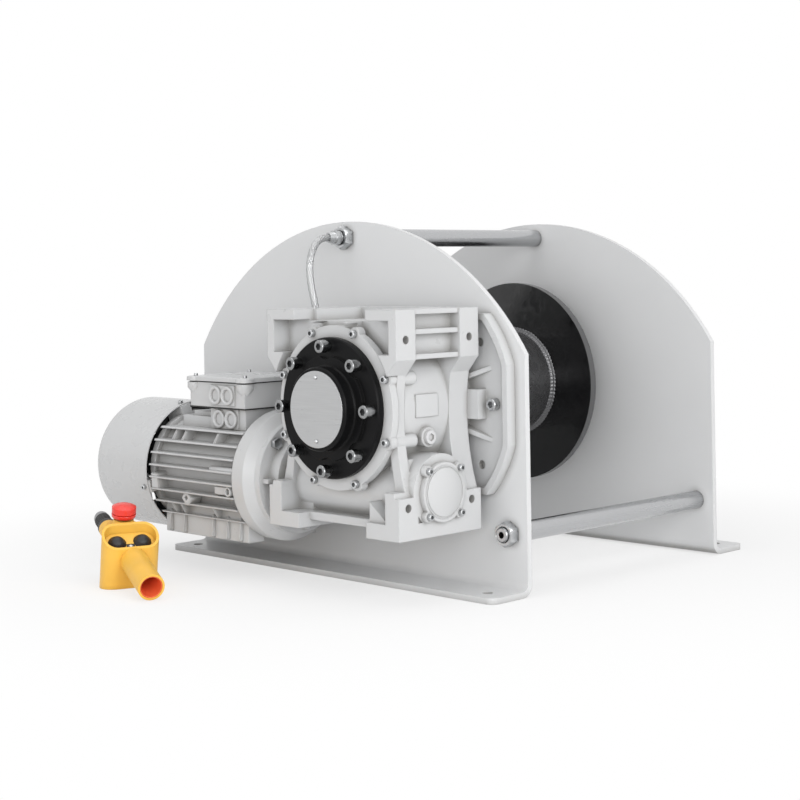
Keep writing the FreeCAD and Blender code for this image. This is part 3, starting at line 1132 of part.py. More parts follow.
def terminal_lid(left, right, front, back):
    body = new_body("terminal_lid")
    half_x, half_y = "Size.tbox_width / 2 + Size.lid_overhang", "Size.tbox_depth / 2 + Size.lid_overhang"
    sketch = new_sketch(body, "XY_Plane")
    rounded_rectangle(sketch, f"({half_x})", f"({half_y})", "Size.lid_height")
    pad(body, sketch, "Size.lid_height")
    doc.recompute()
    top = num("Size.lid_height")
    round_edges(body, "Size.lid_height / 3", lambda edge: edge.BoundBox.ZMin > top - 0.01)
    place(body, f"({left} + {right}) / 2", f"({front} + {back}) / 2", TBOX_TOP)
    head = screw_head("Size.lid_screw_radius")
    inset = "Size.lid_post / 2"
    group("terminal_lid_screws", [placed(head, V(num(x), num(y), num(f"{TBOX_TOP} + Size.lid_height")))
                                  for x in (f"{left} + {inset}", f"{right} - {inset}")
                                  for y in (f"{front} + {inset}", f"{back} - {inset}")])


def rounded_rectangle(sketch, half_x, half_y, radius):
    a, b, r = half_x, half_y, radius
    outline(sketch, [(f"-{a} + {r}", f"-{b}"), (f"{a} - {r}", f"-{b}", r, "left"), (a, f"-{b} + {r}"),
                     (a, f"{b} - {r}", r, "left"), (f"{a} - {r}", b), (f"-{a} + {r}", b, r, "left"),
                     (f"-{a}", f"{b} - {r}"), (f"-{a}", f"-{b} + {r}", r, "left")])


def cable_glands():
    """One gland in the top rod's hollow end and one in the side of the terminal box."""
    hexagon = prism(num("Size.gland_hex"), num("Size.gland_hex_length"))
    taper = Part.makeCone(num("Size.gland_radius"), num("Size.cable_radius + Size.gland_lip"),
                          num("Size.gland_length - Size.gland_hex_length"),
                          V(0, 0, num("Size.gland_hex_length")))
    gland = hexagon.fuse(taper)
    rod_end = V(0, num(f"{CABLE_TOP_Y} + Size.gland_length"), num(TOP_ROD_Z))
    box_side = V(num(TBOX_RIGHT), num(GLAND_Y), num(GLAND_Z))
    group("cable_glands", [placed(gland, rod_end, TO_MINUS_Y), placed(gland, box_side, TO_PLUS_X)])


def cable_points():
    """Route from the rod's gland, out in a loop, down beside the case and into the terminal box."""
    start = V(0, num(CABLE_TOP_Y), num(TOP_ROD_Z))
    finish = V(num(CABLE_BOX_X), num(GLAND_Y), num(GLAND_Z))
    radius = num("Size.cable_radius")
    loop = [V(0, -3.2, 0), V(1.2, -7.6, -4.5), V(1.6, -8.3, -11), V(3.1, -7.2, -20)]
    descent = [V(6.8, -0.3, 14.2), V(8.8, 0, 5.5), V(4.6, 0, 0)]
    return ([start] + [start + step * radius for step in loop]
            + [finish + step * radius for step in descent] + [finish])


def rounded_path(points):
    """Straight runs joined by tangent arcs, each as large as its runs allow; also gives the radii."""
    edges, radii, here = [], [], points[0]
    last = len(points) - 2
    for i in range(1, len(points) - 1):
        before, after = points[i] - points[i - 1], points[i + 1] - points[i]
        turn = before.getAngle(after)
        room = min(before.Length * (0.9 if i == 1 else 0.45), after.Length * (0.9 if i == last else 0.45))
        radii.append(room / math.tan(turn / 2))
        first = points[i] - before.normalize() * room
        end = points[i] + after.normalize() * room
        inward = (first + end) / 2 - points[i]
        depth = radii[-1] / math.cos(turn / 2) - radii[-1]
        edges.append(Part.LineSegment(here, first).toShape())
        edges.append(Part.Arc(first, points[i] + inward.normalize() * depth, end).toShape())
        here = end
    edges.append(Part.LineSegment(here, points[-1]).toShape())
    return Part.Wire(edges), radii


def braided_cable():
    points = cable_points()
    path, radii = rounded_path(points)
    radius = num("Size.cable_radius")
    section = Part.Wire(Part.Circle(points[0], points[1] - points[0], radius).toShape())
    tube = path.makePipeShell([section], True, False)
    expected = math.pi * radius**2 * path.Length
    print("cable bend radii", [round(r, 1) for r in radii], "volume share", round(tube.Volume / expected, 4))
    group("braided_cable", [tube])


# Pendant, modelled in its own frame: origin at the middle of the button face, X along the grip, Z up
# the head, with the button face slanted towards the grip


def pendant_frame():
    yaw = FreeCAD.Rotation(V(0, 0, 1), num("Size.pendant_yaw"))
    tilt = FreeCAD.Rotation(V(0, 1, 0), num("Size.pendant_tilt"))
    origin = V(num("Size.pendant_x"), num("Size.pendant_y"), num(PENDANT_Z))
    return FreeCAD.Placement(origin, yaw.multiply(tilt))


def free(item):
    """Release a piece from the expressions on its place, so that it can be carried further."""
    for axis in "xyz":
        item.setExpression(f"Placement.Base.{axis}", None)
    return item


def on_pendant(item, label):
    """Carry a finished pendant piece from the pendant's own frame to where it lies."""
    free(item).Placement = pendant_frame().multiply(item.Placement)
    return keep(item, label)


def on_face(item):
    """Turn a piece about the middle of the button face onto that face's slant."""
    slant = FreeCAD.Placement(V(), FreeCAD.Rotation(V(0, 1, 0), num("Size.face_tilt")))
    free(item).Placement = slant.multiply(item.Placement)
    return item


def face_layer(low, high):
    """Everything between two heights over the button face."""
    reach = "2 * Size.head_width"
    return on_face(box((f"-{reach}", reach), (f"-{reach}", reach), (low, high)))


def oval_block(half_length, half_width, corner, top, depth, x="0"):
    """A rounded rectangle round x, from a height downwards."""
    body = doc.addObject("PartDesign::Body", "oval_block")
    sketch = new_sketch(body, "XY_Plane")
    rounded_rectangle(sketch, half_length, half_width, corner)
    pad(body, sketch, depth, reverse=True)
    return place(body, x=x, z=top)


def head_block(inset):
    """The head's outline drawn in by an inset, standing higher than its slanted face."""
    return oval_block(f"(Size.head_length / 2 - {inset})", f"(Size.head_width / 2 - {inset})",
                      f"(Size.head_corner - {inset})", "Size.head_length",
                      "Size.head_length + Size.head_depth")


def floor_block():
    """Everything below the floor, seen in the pendant's own frame."""
    block = doc.addObject("Part::Box", "floor")
    side = "4 * Size.grip_reach"
    bind(block, Length=side, Width=side, Height=side)
    corner = V(-num(side) / 2, -num(side) / 2, -num(side))
    level = FreeCAD.Placement(V(num("Size.pendant_x"), num("Size.pendant_y"), 0), UPRIGHT)
    block.Placement = pendant_frame().inverse().multiply(level).multiply(FreeCAD.Placement(corner, UPRIGHT))
    return block


def button_spots():
    return {"up_button": "Size.button_span / 2", "down_button": "-Size.button_span / 2"}


def pendant_housing():
    """A head cut off aslant with a recessed button face, a shoulder for the stop button and a tube grip."""
    head = cut(head_block("0"), face_layer("0", "2 * Size.head_length"))
    half = "((Size.collar_offset + Size.shoulder_half_width) / 2)"
    shoulder = oval_block(half, "Size.shoulder_half_width", "Size.shoulder_corner", "Size.shoulder_top",
                          "Size.shoulder_depth", x=f"-{half}")
    collar = doc.addObject("Part::Cone", "collar")
    bind(collar, Radius1="Size.collar_radius", Radius2="Size.collar_top", Height="Size.collar_height")
    place(collar, x="-Size.collar_offset", z="Size.shoulder_top")
    inlet = rod("Size.cord_gland_nut", "Size.shoulder_half_width + Size.cord_gland_seat",
                "-Size.collar_offset", "-Size.cord_gland_side", "-Size.cord_gland_drop", TO_MINUS_X)
    grip = rod("Size.grip_radius", "Size.grip_reach", "0", "0", "-Size.grip_drop", TO_PLUS_X)
    bore = rod("Size.grip_radius - Size.grip_wall", "Size.grip_bore_depth",
               "Size.grip_reach - Size.grip_bore_depth", "0", "-Size.grip_drop", TO_PLUS_X)
    recess = common(head_block("Size.head_lip"), face_layer("-Size.recess", "2 * Size.head_length"))
    stem_well = rod("Size.stem_radius + Size.button_gap", "Size.stem_depth + 2 * Size.stop_travel",
                    "-Size.collar_offset", "0",
                    "Size.collar_height + Size.shoulder_top - Size.stem_depth - 2 * Size.stop_travel")
    solid = fuse(head, shoulder, collar, inlet, grip)
    on_pendant(cut(solid, recess, bore, *button_wells(), stem_well, floor_block()), "pendant_housing")


def button_wells():
    """Under each button a shallow well for its skirt and a deep one for its stem."""
    wells = []
    for radius, depth in (("Size.button_radius", "(Size.button_travel + 2 * Size.button_gap)"),
                          ("Size.button_stem", "(Size.button_depth + Size.button_travel + 1)")):
        wells += [on_face(rod(f"{radius} + Size.button_gap", depth, "Size.button_shift", y,
                              f"-Size.recess - {depth}")) for y in button_spots().values()]
    return wells


def pendant_buttons():
    """A plate on the recess floor, and two buttons whose tapered skirts stand in its eyes."""
    plate = common(head_block("(Size.head_lip + Size.button_gap)"),
                   face_layer("-Size.recess", "Size.button_plate - Size.recess"))
    eyes = [on_face(rod("Size.button_radius + Size.button_gap", "2 * Size.button_plate", "Size.button_shift",
                        y, "-Size.recess - Size.button_plate / 2")) for y in button_spots().values()]
    on_pendant(cut(plate, *eyes), "pendant_button_plate")
    stem, base, top = "Size.button_stem", "Size.button_depth", "(Size.button_depth + Size.button_rise)"
    dome = "(Size.button_top^2 + Size.button_dome^2) / (2 * Size.button_dome)"
    for label, y in button_spots().items():
        button = turned_blank([("0", "0"), (stem, "0"), (stem, base), ("Size.button_radius", base),
                               ("Size.button_radius", f"{base} + Size.button_skirt"),
                               ("Size.button_top", top, dome, "left"), ("0", f"{top} + Size.button_dome")],
                              x="Size.button_shift", y=y, z="-Size.recess - Size.button_depth")
        on_pendant(on_face(button), label)


def stop_button():
    """The stop button's stem slides in the collar; the mushroom head turns on the stem."""
    collar_face = "(Size.collar_height + Size.shoulder_top)"
    on_pendant(rod("Size.stem_radius", "Size.stem_depth + Size.stem_rise", "-Size.collar_offset", "0",
                   f"{collar_face} - Size.stem_depth"), "stop_stem")
    bore, socket = "Size.stem_radius + Size.running_gap", "Size.stem_rise - Size.stop_lift + Size.running_gap"
    crown = "0.28 * Size.stop_height"
    dome = f"(Size.stop_radius^2 + ({crown})^2) / (2 * {crown})"
    head = turned_blank([("0", socket), (bore, socket), (bore, "0"), ("0.8 * Size.stop_radius", "0"),
                         ("Size.stop_radius", "0.2 * Size.stop_height"),
                         ("Size.stop_radius", f"Size.stop_height - {crown}", dome, "left"),
                         ("0", "Size.stop_height")],
                        x="-Size.collar_offset", z=f"{collar_face} + Size.stop_lift")
    on_pendant(head, "stop_head")


def pendant_gland():
    """A gland at the tail of the pendant, left open for its cable."""
    bore, body_radius, nut = "Size.cord_gland_bore", "Size.cord_gland_radius", "Size.cord_gland_nut"
    corners = [(bore, "0"), (nut, "0"), (nut, "Size.cord_gland_nut_length"),
               (body_radius, "Size.cord_gland_nut_length"), (body_radius, "0.75 * Size.cord_gland_length"),
               (f"{body_radius} - Size.cord_gland_bore / 2", "Size.cord_gland_length"),
               (bore, "Size.cord_gland_length")]
    gland = turned_blank(corners, x="-Size.collar_offset - Size.shoulder_half_width - Size.cord_gland_seat",
                         y="-Size.cord_gland_side", z="-Size.cord_gland_drop", turn=TO_MINUS_X)
    on_pendant(gland, "pendant_gland")


def build():
    fill_sheet()
    side_plates()
    tie_rods()
    drum_axle()
    drum()
    spur_stage()
    gearbox_flange()
    gearbox_housing()
    side_cover()
    bearing_cover()
    worm_cover()
    output_train()
    drive_end()
    stator()
    brake_end()
    terminal_box()
    cable_glands()
    braided_cable()
    pendant_housing()
    pendant_buttons()
    stop_button()
    pendant_gland()
    doc.recompute()


def check():
    for item in doc.Objects:
        if "Invalid" in item.State or "Error" in item.State:
            raise RuntimeError(f"{item.Name} ({item.Label}) failed: {item.State}")
    for piece in subparts:
        if piece.Shape.isNull() or not piece.Shape.isValid() or not piece.Shape.Solids:
            raise RuntimeError(f"{piece.Label} has no valid solid")


def write():
    os.makedirs("parts", exist_ok=True)
    for piece in subparts:
        piece.Shape.exportStep(f"parts/{piece.Label}.step")
    print(len(subparts), "pieces written")


build()
check()
write()
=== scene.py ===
import math

import bmesh
import bpy
from mathutils import Matrix, Vector


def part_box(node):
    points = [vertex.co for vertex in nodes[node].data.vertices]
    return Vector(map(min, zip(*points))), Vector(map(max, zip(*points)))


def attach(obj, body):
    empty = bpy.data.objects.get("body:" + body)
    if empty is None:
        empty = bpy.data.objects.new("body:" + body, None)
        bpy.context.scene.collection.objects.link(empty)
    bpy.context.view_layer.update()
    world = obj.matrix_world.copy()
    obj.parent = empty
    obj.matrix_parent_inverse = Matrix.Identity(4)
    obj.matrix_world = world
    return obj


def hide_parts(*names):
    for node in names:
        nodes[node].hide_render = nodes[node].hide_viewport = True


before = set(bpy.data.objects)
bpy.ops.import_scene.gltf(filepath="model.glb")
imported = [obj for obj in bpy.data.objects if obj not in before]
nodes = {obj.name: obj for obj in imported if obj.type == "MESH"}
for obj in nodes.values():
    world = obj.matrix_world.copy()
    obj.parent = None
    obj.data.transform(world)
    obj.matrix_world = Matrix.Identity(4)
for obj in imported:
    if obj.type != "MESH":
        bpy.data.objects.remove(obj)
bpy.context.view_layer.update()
scene = bpy.context.scene
scene.view_settings.view_transform = "Standard"

# Places shared with the solids, in metres
CABLE_ROUTE = [(0, -0.304, 0.582), (0, -0.3248, 0.582), (0.0078, -0.3534, 0.55275),
               (0.0104, -0.35795, 0.5105), (0.02015, -0.3508, 0.452), (0.0092, -0.34395, 0.4043),
               (0.0222, -0.342, 0.34775), (-0.0051, -0.342, 0.312), (-0.035, -0.342, 0.312)]
CABLE_RADIUS = 0.0065
PLATE_FACE = 0.26
ROD_SPOTS = [(-0.374, 0.098), (0.374, 0.098), (0, 0.582)]
ROD_THREAD = 0.01195
NUT_ACROSS, NUT_HEIGHT, NUT_BORE = 0.036, 0.018, 0.01215
DRUM_AXIS = Vector((0, 0, 0.305))
MOTOR_AXIS = Vector((0, -0.382, 0.175))
STATOR_SPAN = (-0.272, -0.042)
FIN_PITCH = 0.0215
TERMINAL_X, TERMINAL_Y = (-0.207, -0.057), (-0.45, -0.314)
KNOCKOUT_X = (-0.132, -0.099)
KNOCKOUT_FACES = [(-0.453, 0.3115), (-0.445, 0.2699)]

# The pendant's own frame: where it lies, and its spots in millimetres
PENDANT_TURN = Matrix.Rotation(math.radians(-21), 3, "Z") @ Matrix.Rotation(math.radians(13.6), 3, "Y")
PENDANT_PLACE = Vector((-0.149, -0.625, 0.087115))
FACE_TILT = 28
GLAND_SPOT = (-79, -18, -17)
STOP_SPOT = (-49, 0, 0)
GRIP_SPOT = (0, 0, -34)

# The camera fitted to the photograph: degrees, millimetres, share of the frame, metres
CAMERA_YAW, CAMERA_ROLL = -45.25, 0.94
CAMERA_SENSOR, CAMERA_LENS = 36, 74.82
CAMERA_SHIFT = -0.1591
CAMERA_PLACE = Vector((2.1462, -2.2562, 0.5188))
CAMERA_REACH = 50

# Each lamp's place, target, size in metres and power in watts
LAMPS = {
    "key": ((3.3, -0.8, 1.5), (0.1, 0.1, 0.25), (2.4, 2.0), 52),
    "front": ((-0.6, -4.0, 1.9), (0.0, -0.3, 0.25), (2.8, 2.0), 20),
    "fill": ((2.2, -2.9, 0.7), (0.0, -0.1, 0.2), (2.8, 1.3), 33),
    "top": ((0.2, -0.4, 3.6), (0.0, 0.0, 0.2), (3.4, 3.4), 42),
}
ROOM_STRENGTH = 0.44

# The floor, and how far from its middle the shadow fades into plain white
FLOOR_SIZE, FLOOR_CELLS = 9, 12
FLOOR_DROP = 0.0005
FLOOR_GREY = 0.9
SHADOW_INNER, SHADOW_OUTER = 0.4, 1.2
LEAST_WHITE = 0.62

# Meshes made here
MERGE_DISTANCE = 1e-6
SHARP_ANGLE = math.radians(38)


# Node trees of materials and of the world


def add(holder, kind, **values):
    """A new node in a material or world, with its sockets and settings given by name."""
    node = holder.node_tree.nodes.new(kind)
    for name, value in values.items():
        if name in node.inputs:
            node.inputs[name].default_value = value
        else:
            setattr(node, name, value)
    return node


def link(holder, source, target):
    holder.node_tree.links.new(source, target)


def seen_directly(holder):
    """1 for camera, glossy and transmission rays."""
    path = add(holder, "ShaderNodeLightPath")
    first = add(holder, "ShaderNodeMath", operation="MAXIMUM")
    second = add(holder, "ShaderNodeMath", operation="MAXIMUM")
    link(holder, path.outputs["Is Camera Ray"], first.inputs[0])
    link(holder, path.outputs["Is Glossy Ray"], first.inputs[1])
    link(holder, first.outputs[0], second.inputs[0])
    link(holder, path.outputs["Is Transmission Ray"], second.inputs[1])
    return second.outputs[0]


def mix_to_output(holder, output, share, first, second):
    """Mix two shaders by a share and send the result to the output."""
    mix = add(holder, "ShaderNodeMixShader")
    link(holder, share, mix.inputs["Fac"])
    link(holder, first.outputs[0], mix.inputs[1])
    link(holder, second.outputs[0], mix.inputs[2])
    link(holder, mix.outputs[0], add(holder, output).inputs["Surface"])


# Camera, light and floor


def aim_camera():
    """A level view of the corner between the gearbox and the open end, with the photograph's slight roll."""
    yaw, roll = math.radians(CAMERA_YAW), math.radians(CAMERA_ROLL)
    forward = Vector((math.sin(yaw), math.cos(yaw), 0))
    level = Vector((math.cos(yaw), -math.sin(yaw), 0))
    up = Vector((0, 0, 1))
    right = level * math.cos(roll) - up * math.sin(roll)
    top = up * math.cos(roll) + level * math.sin(roll)
    lens = bpy.data.cameras.new("camera")
    lens.sensor_width = CAMERA_SENSOR
    lens.lens = CAMERA_LENS
    lens.shift_y = CAMERA_SHIFT
    lens.clip_end = CAMERA_REACH
    camera = bpy.data.objects.new("camera", lens)
    scene.collection.objects.link(camera)
    place = Matrix((right, top, -forward)).transposed().to_4x4()
    place.translation = CAMERA_PLACE
    camera.matrix_world = place
    scene.camera = camera


def area_lamp(name, position, target, size, power):
    lamp = bpy.data.lights.new(name, "AREA")
    lamp.shape = "RECTANGLE"
    lamp.size, lamp.size_y = size
    lamp.energy = power
    item = bpy.data.objects.new(name, lamp)
    scene.collection.objects.link(item)
    direction = Vector(target) - Vector(position)
    item.location = position
    item.rotation_euler = direction.to_track_quat("-Z", "Y").to_euler()


def studio():
    """Large soft lamps at a plain level, in a white room that the camera and the metal see."""
    for name, values in LAMPS.items():
        area_lamp(name, *values)
    world = bpy.data.worlds.new("white room")
    scene.world = world
    world.use_nodes = True
    world.node_tree.nodes.clear()
    lit = add(world, "ShaderNodeBackground", Color=(1, 1, 1, 1), Strength=ROOM_STRENGTH)
    seen = add(world, "ShaderNodeBackground", Color=(1, 1, 1, 1))
    mix_to_output(world, "ShaderNodeOutputWorld", seen_directly(world), lit, seen)


def floor_material():
    """Pale under the object, where it keeps the shadow, and plain white away from it."""
    material = bpy.data.materials.new("pale_floor")
    material.use_nodes = True
    material.node_tree.nodes.clear()
    place = add(material, "ShaderNodeTexCoord")
    reach = add(material, "ShaderNodeVectorMath", operation="LENGTH")
    fade = add(material, "ShaderNodeMapRange", interpolation_type="SMOOTHSTEP",
               **{"From Min": SHADOW_INNER, "From Max": SHADOW_OUTER, "To Min": LEAST_WHITE})
    direct = add(material, "ShaderNodeMath", operation="MULTIPLY")
    link(material, place.outputs["Object"], reach.inputs[0])
    link(material, reach.outputs["Value"], fade.inputs["Value"])
    link(material, fade.outputs[0], direct.inputs[0])
    link(material, seen_directly(material), direct.inputs[1])
    ground = add(material, "ShaderNodeBsdfDiffuse", Color=(FLOOR_GREY, FLOOR_GREY, FLOOR_GREY, 1))
    white = add(material, "ShaderNodeEmission")
    mix_to_output(material, "ShaderNodeOutputMaterial", direct.outputs[0], ground, white)
    return material


def floor():
    mesh = bpy.data.meshes.new("floor")
    build = bmesh.new()
    bmesh.ops.create_grid(build, x_segments=FLOOR_CELLS, y_segments=FLOOR_CELLS, size=FLOOR_SIZE)
    build.to_mesh(mesh)
    build.free()
    mesh.materials.append(floor_material())
    item = bpy.data.objects.new("floor", mesh)
    item.location = (0, 0, -FLOOR_DROP)
    scene.collection.objects.link(item)


# Material building blocks

EVEN = (1, 1, 1)


def shader(name, colour, roughness, metallic=0.0):
    """A new material and its Principled shader."""
    material = bpy.data.materials.new(name)
    material.use_nodes = True
    base = material.node_tree.nodes["Principled BSDF"]
    base.inputs["Base Color"].default_value = (*colour, 1)
    base.inputs["Roughness"].default_value = roughness
    base.inputs["Metallic"].default_value = metallic
    return material, base


def place_of(material, stretch):
    """The piece's own coordinates in metres, stretched on each axis."""
    coordinates = add(material, "ShaderNodeTexCoord")
    mapping = add(material, "ShaderNodeMapping", Scale=stretch)
    link(material, coordinates.outputs["Object"], mapping.inputs["Vector"])
    return mapping.outputs["Vector"]


def noise(material, scale, detail, stretch=EVEN):
    texture = add(material, "ShaderNodeTexNoise", Scale=scale, Detail=detail)
    link(material, place_of(material, stretch), texture.inputs["Vector"])
    return texture.outputs["Fac"]


def cells(material, scale):
    """The random grey of a cell pattern, as on zinc."""
    texture = add(material, "ShaderNodeTexVoronoi", Scale=scale)
    link(material, place_of(material, EVEN), texture.inputs["Vector"])
    return texture.outputs["Color"]


def spread(material, source, low=0, high=1, start=0.3, end=0.7):
    """Map a pattern's start to end onto a range of values."""
    node = add(material, "ShaderNodeMapRange",
               **{"From Min": start, "From Max": end, "To Min": low, "To Max": high})
    link(material, source, node.inputs["Value"])
    return node.outputs["Result"]


def tint(material, source, low, high):
    """A colour between two, or between a colour and another pattern, picked by a pattern."""
    node = add(material, "ShaderNodeMix", data_type="RGBA")
    colours = [socket for socket in node.inputs if socket.type == "RGBA"]
    for socket, value in zip(colours, (low, high)):
        if isinstance(value, tuple):
            socket.default_value = (*value, 1)
        else:
            link(material, value, socket)
    link(material, source, node.inputs["Factor"])
    return next(socket for socket in node.outputs if socket.type == "RGBA")


def occlusion_shade(material, distance, start=0.35, end=0.85):
    """Mask for painted shade, by ambient occlusion: 0 deep in corners and 1 on open faces."""
    shade = add(material, "ShaderNodeAmbientOcclusion", samples=8, Distance=distance)
    return spread(material, shade.outputs["AO"], start=start, end=end)


def colour_and_polish(material, base, colour, polish):
    """Link a colour pattern and a roughness pattern to the shader."""
    link(material, colour, base.inputs["Base Color"])
    link(material, polish, base.inputs["Roughness"])


def relief(material, base, height, depth, edge):
    """A bump on the surface, over edges rounded by a small radius where one is given."""
    bump = add(material, "ShaderNodeBump", Distance=depth)
    link(material, height, bump.inputs["Height"])
    if edge:
        bevel = add(material, "ShaderNodeBevel", samples=6, Radius=edge)
        link(material, bevel.outputs["Normal"], bump.inputs["Normal"])
    link(material, bump.outputs["Normal"], base.inputs["Normal"])


def shaded(colour, share):
    return tuple(channel * share for channel in colour)


# Kinds of finish

WHITE = (0.585, 0.59, 0.595)
# The colour of the painted shade in the corners of paint
PAINTED_SHADE_GREY = (0.36, 0.355, 0.345)


def paint(name, colour, roughness, peel, depth, edge, shade_colour=PAINTED_SHADE_GREY, gloss=0.5):
    """Paint with slight mottling, an orange-peel skin, rounded edges and painted shade in its corners."""
    material, base = shader(name, colour, roughness)
    base.inputs["Specular IOR Level"].default_value = gloss
    mottle = spread(material, noise(material, scale=7, detail=5))
    mottled = tint(material, mottle, shaded(colour, 0.975), colour)
    # Painted shade: the colour goes to the shade grey where ambient occlusion finds corners
    paint_with_shade = tint(material, occlusion_shade(material, distance=0.02), shade_colour, mottled)
    polish = spread(material, noise(material, scale=28, detail=4), roughness - 0.03, roughness + 0.04)
    colour_and_polish(material, base, paint_with_shade, polish)
    relief(material, base, noise(material, scale=peel, detail=2), depth, edge)
    return material


def metal(name, colour, roughness, grain, depth, stretch=EVEN, edge=0.0006):
    """Bare metal with drawn or turned grain and a patchy polish."""
    material, base = shader(name, colour, roughness, metallic=1.0)
    streaks = noise(material, grain, detail=4, stretch=stretch)
    patched = tint(material, spread(material, streaks), shaded(colour, 0.8), colour)
    # Painted shade: a darker copy of the colour in corners found by ambient occlusion
    metal_with_shade = tint(material, occlusion_shade(material, distance=0.008), shaded(colour, 0.45), patched)
    polish = spread(material, noise(material, scale=35, detail=4), roughness - 0.07, roughness + 0.09)
    colour_and_polish(material, base, metal_with_shade, polish)
    relief(material, base, streaks, depth, edge)
    return material


def plastic(name, colour, roughness, grain, depth):
    """Moulded plastic or rubber with a fine grain, a little paler where it is handled."""
    material, base = shader(name, colour, roughness)
    handled = spread(material, noise(material, scale=22, detail=4))
    worn = tint(material, handled, shaded(colour, 0.92), colour)
    # Painted shade: a darker copy of the colour in corners found by ambient occlusion
    corners = occlusion_shade(material, distance=0.012, start=0.2, end=0.8)
    deep = tint(material, corners, shaded(colour, 0.72), worn)
    polish = spread(material, noise(material, scale=60, detail=3), roughness - 0.05, roughness + 0.08)
    colour_and_polish(material, base, deep, polish)
    relief(material, base, noise(material, grain, detail=2), depth, edge=0.001)
    return material


def zinc_coat():
    """Zinc on the drawn tie rods: fine spangles and draw lines under a satin skin."""
    colour = (0.50, 0.505, 0.515)
    material, base = shader("galvanised_steel", colour, roughness=0.28, metallic=1.0)
    spangle = spread(material, cells(material, scale=260), start=0.0, end=1.0)
    mixed = tint(material, spangle, shaded(colour, 0.97), colour)
    # Painted shade: a darker copy of the colour in corners found by ambient occlusion
    metal_with_shade = tint(material, occlusion_shade(material, distance=0.01), shaded(colour, 0.5), mixed)
    polish = spread(material, noise(material, scale=50, detail=4, stretch=(1, 0.1, 1)), 0.22, 0.3)
    colour_and_polish(material, base, metal_with_shade, polish)
    lines = noise(material, scale=420, detail=3, stretch=(1, 0.05, 1))
    relief(material, base, lines, depth=0.00002, edge=0.0006)
    return material


def rim_face(material):
    """1 on faces that look along the drum's axis and 0 on its turned edges."""
    coordinates = add(material, "ShaderNodeTexCoord")
    parts = add(material, "ShaderNodeSeparateXYZ")
    size = add(material, "ShaderNodeMath", operation="ABSOLUTE")
    link(material, coordinates.outputs["Normal"], parts.inputs[0])
    link(material, parts.outputs["Y"], size.inputs[0])
    return spread(material, size.outputs[0], start=0.4, end=0.6)


def rope_steel(name, colour, roughness, metallic, turned=None):
    """Dark steel with faint rubbed marks round the drum's axis, and a paler turned edge if one is given."""
    material, base = shader(name, colour, roughness, metallic)
    base.inputs["Specular IOR Level"].default_value = 0.6
    marks = spread(material, noise(material, scale=60, detail=6, stretch=(1, 6, 1)))
    rubbed = tint(material, marks, shaded(colour, 0.82), shaded(colour, 1.1))
    if turned:
        rubbed = tint(material, rim_face(material), turned, rubbed)
    # Painted shade: a darker copy of the colour in corners found by ambient occlusion
    dark = tint(material, occlusion_shade(material, distance=0.03), shaded(colour, 0.35), rubbed)
    polish = spread(material, noise(material, scale=70, detail=4), roughness - 0.06, roughness + 0.1)
    colour_and_polish(material, base, dark, polish)
    relief(material, base, noise(material, scale=160, detail=3), depth=0.00006, edge=0.0008)
    return material


def brushed_badge():
    """The bare silver plate: fine lines brushed one way."""
    colour = (0.53, 0.535, 0.54)
    material, base = shader("badge_aluminium", colour, roughness=0.36, metallic=1.0)
    lines = noise(material, scale=400, detail=3, stretch=(0.04, 1, 1))
    brushed = tint(material, spread(material, lines), shaded(colour, 0.9), colour)
    colour_and_polish(material, base, brushed, spread(material, lines, 0.26, 0.42))
    relief(material, base, lines, depth=0.00012, edge=0.0008)
    return material


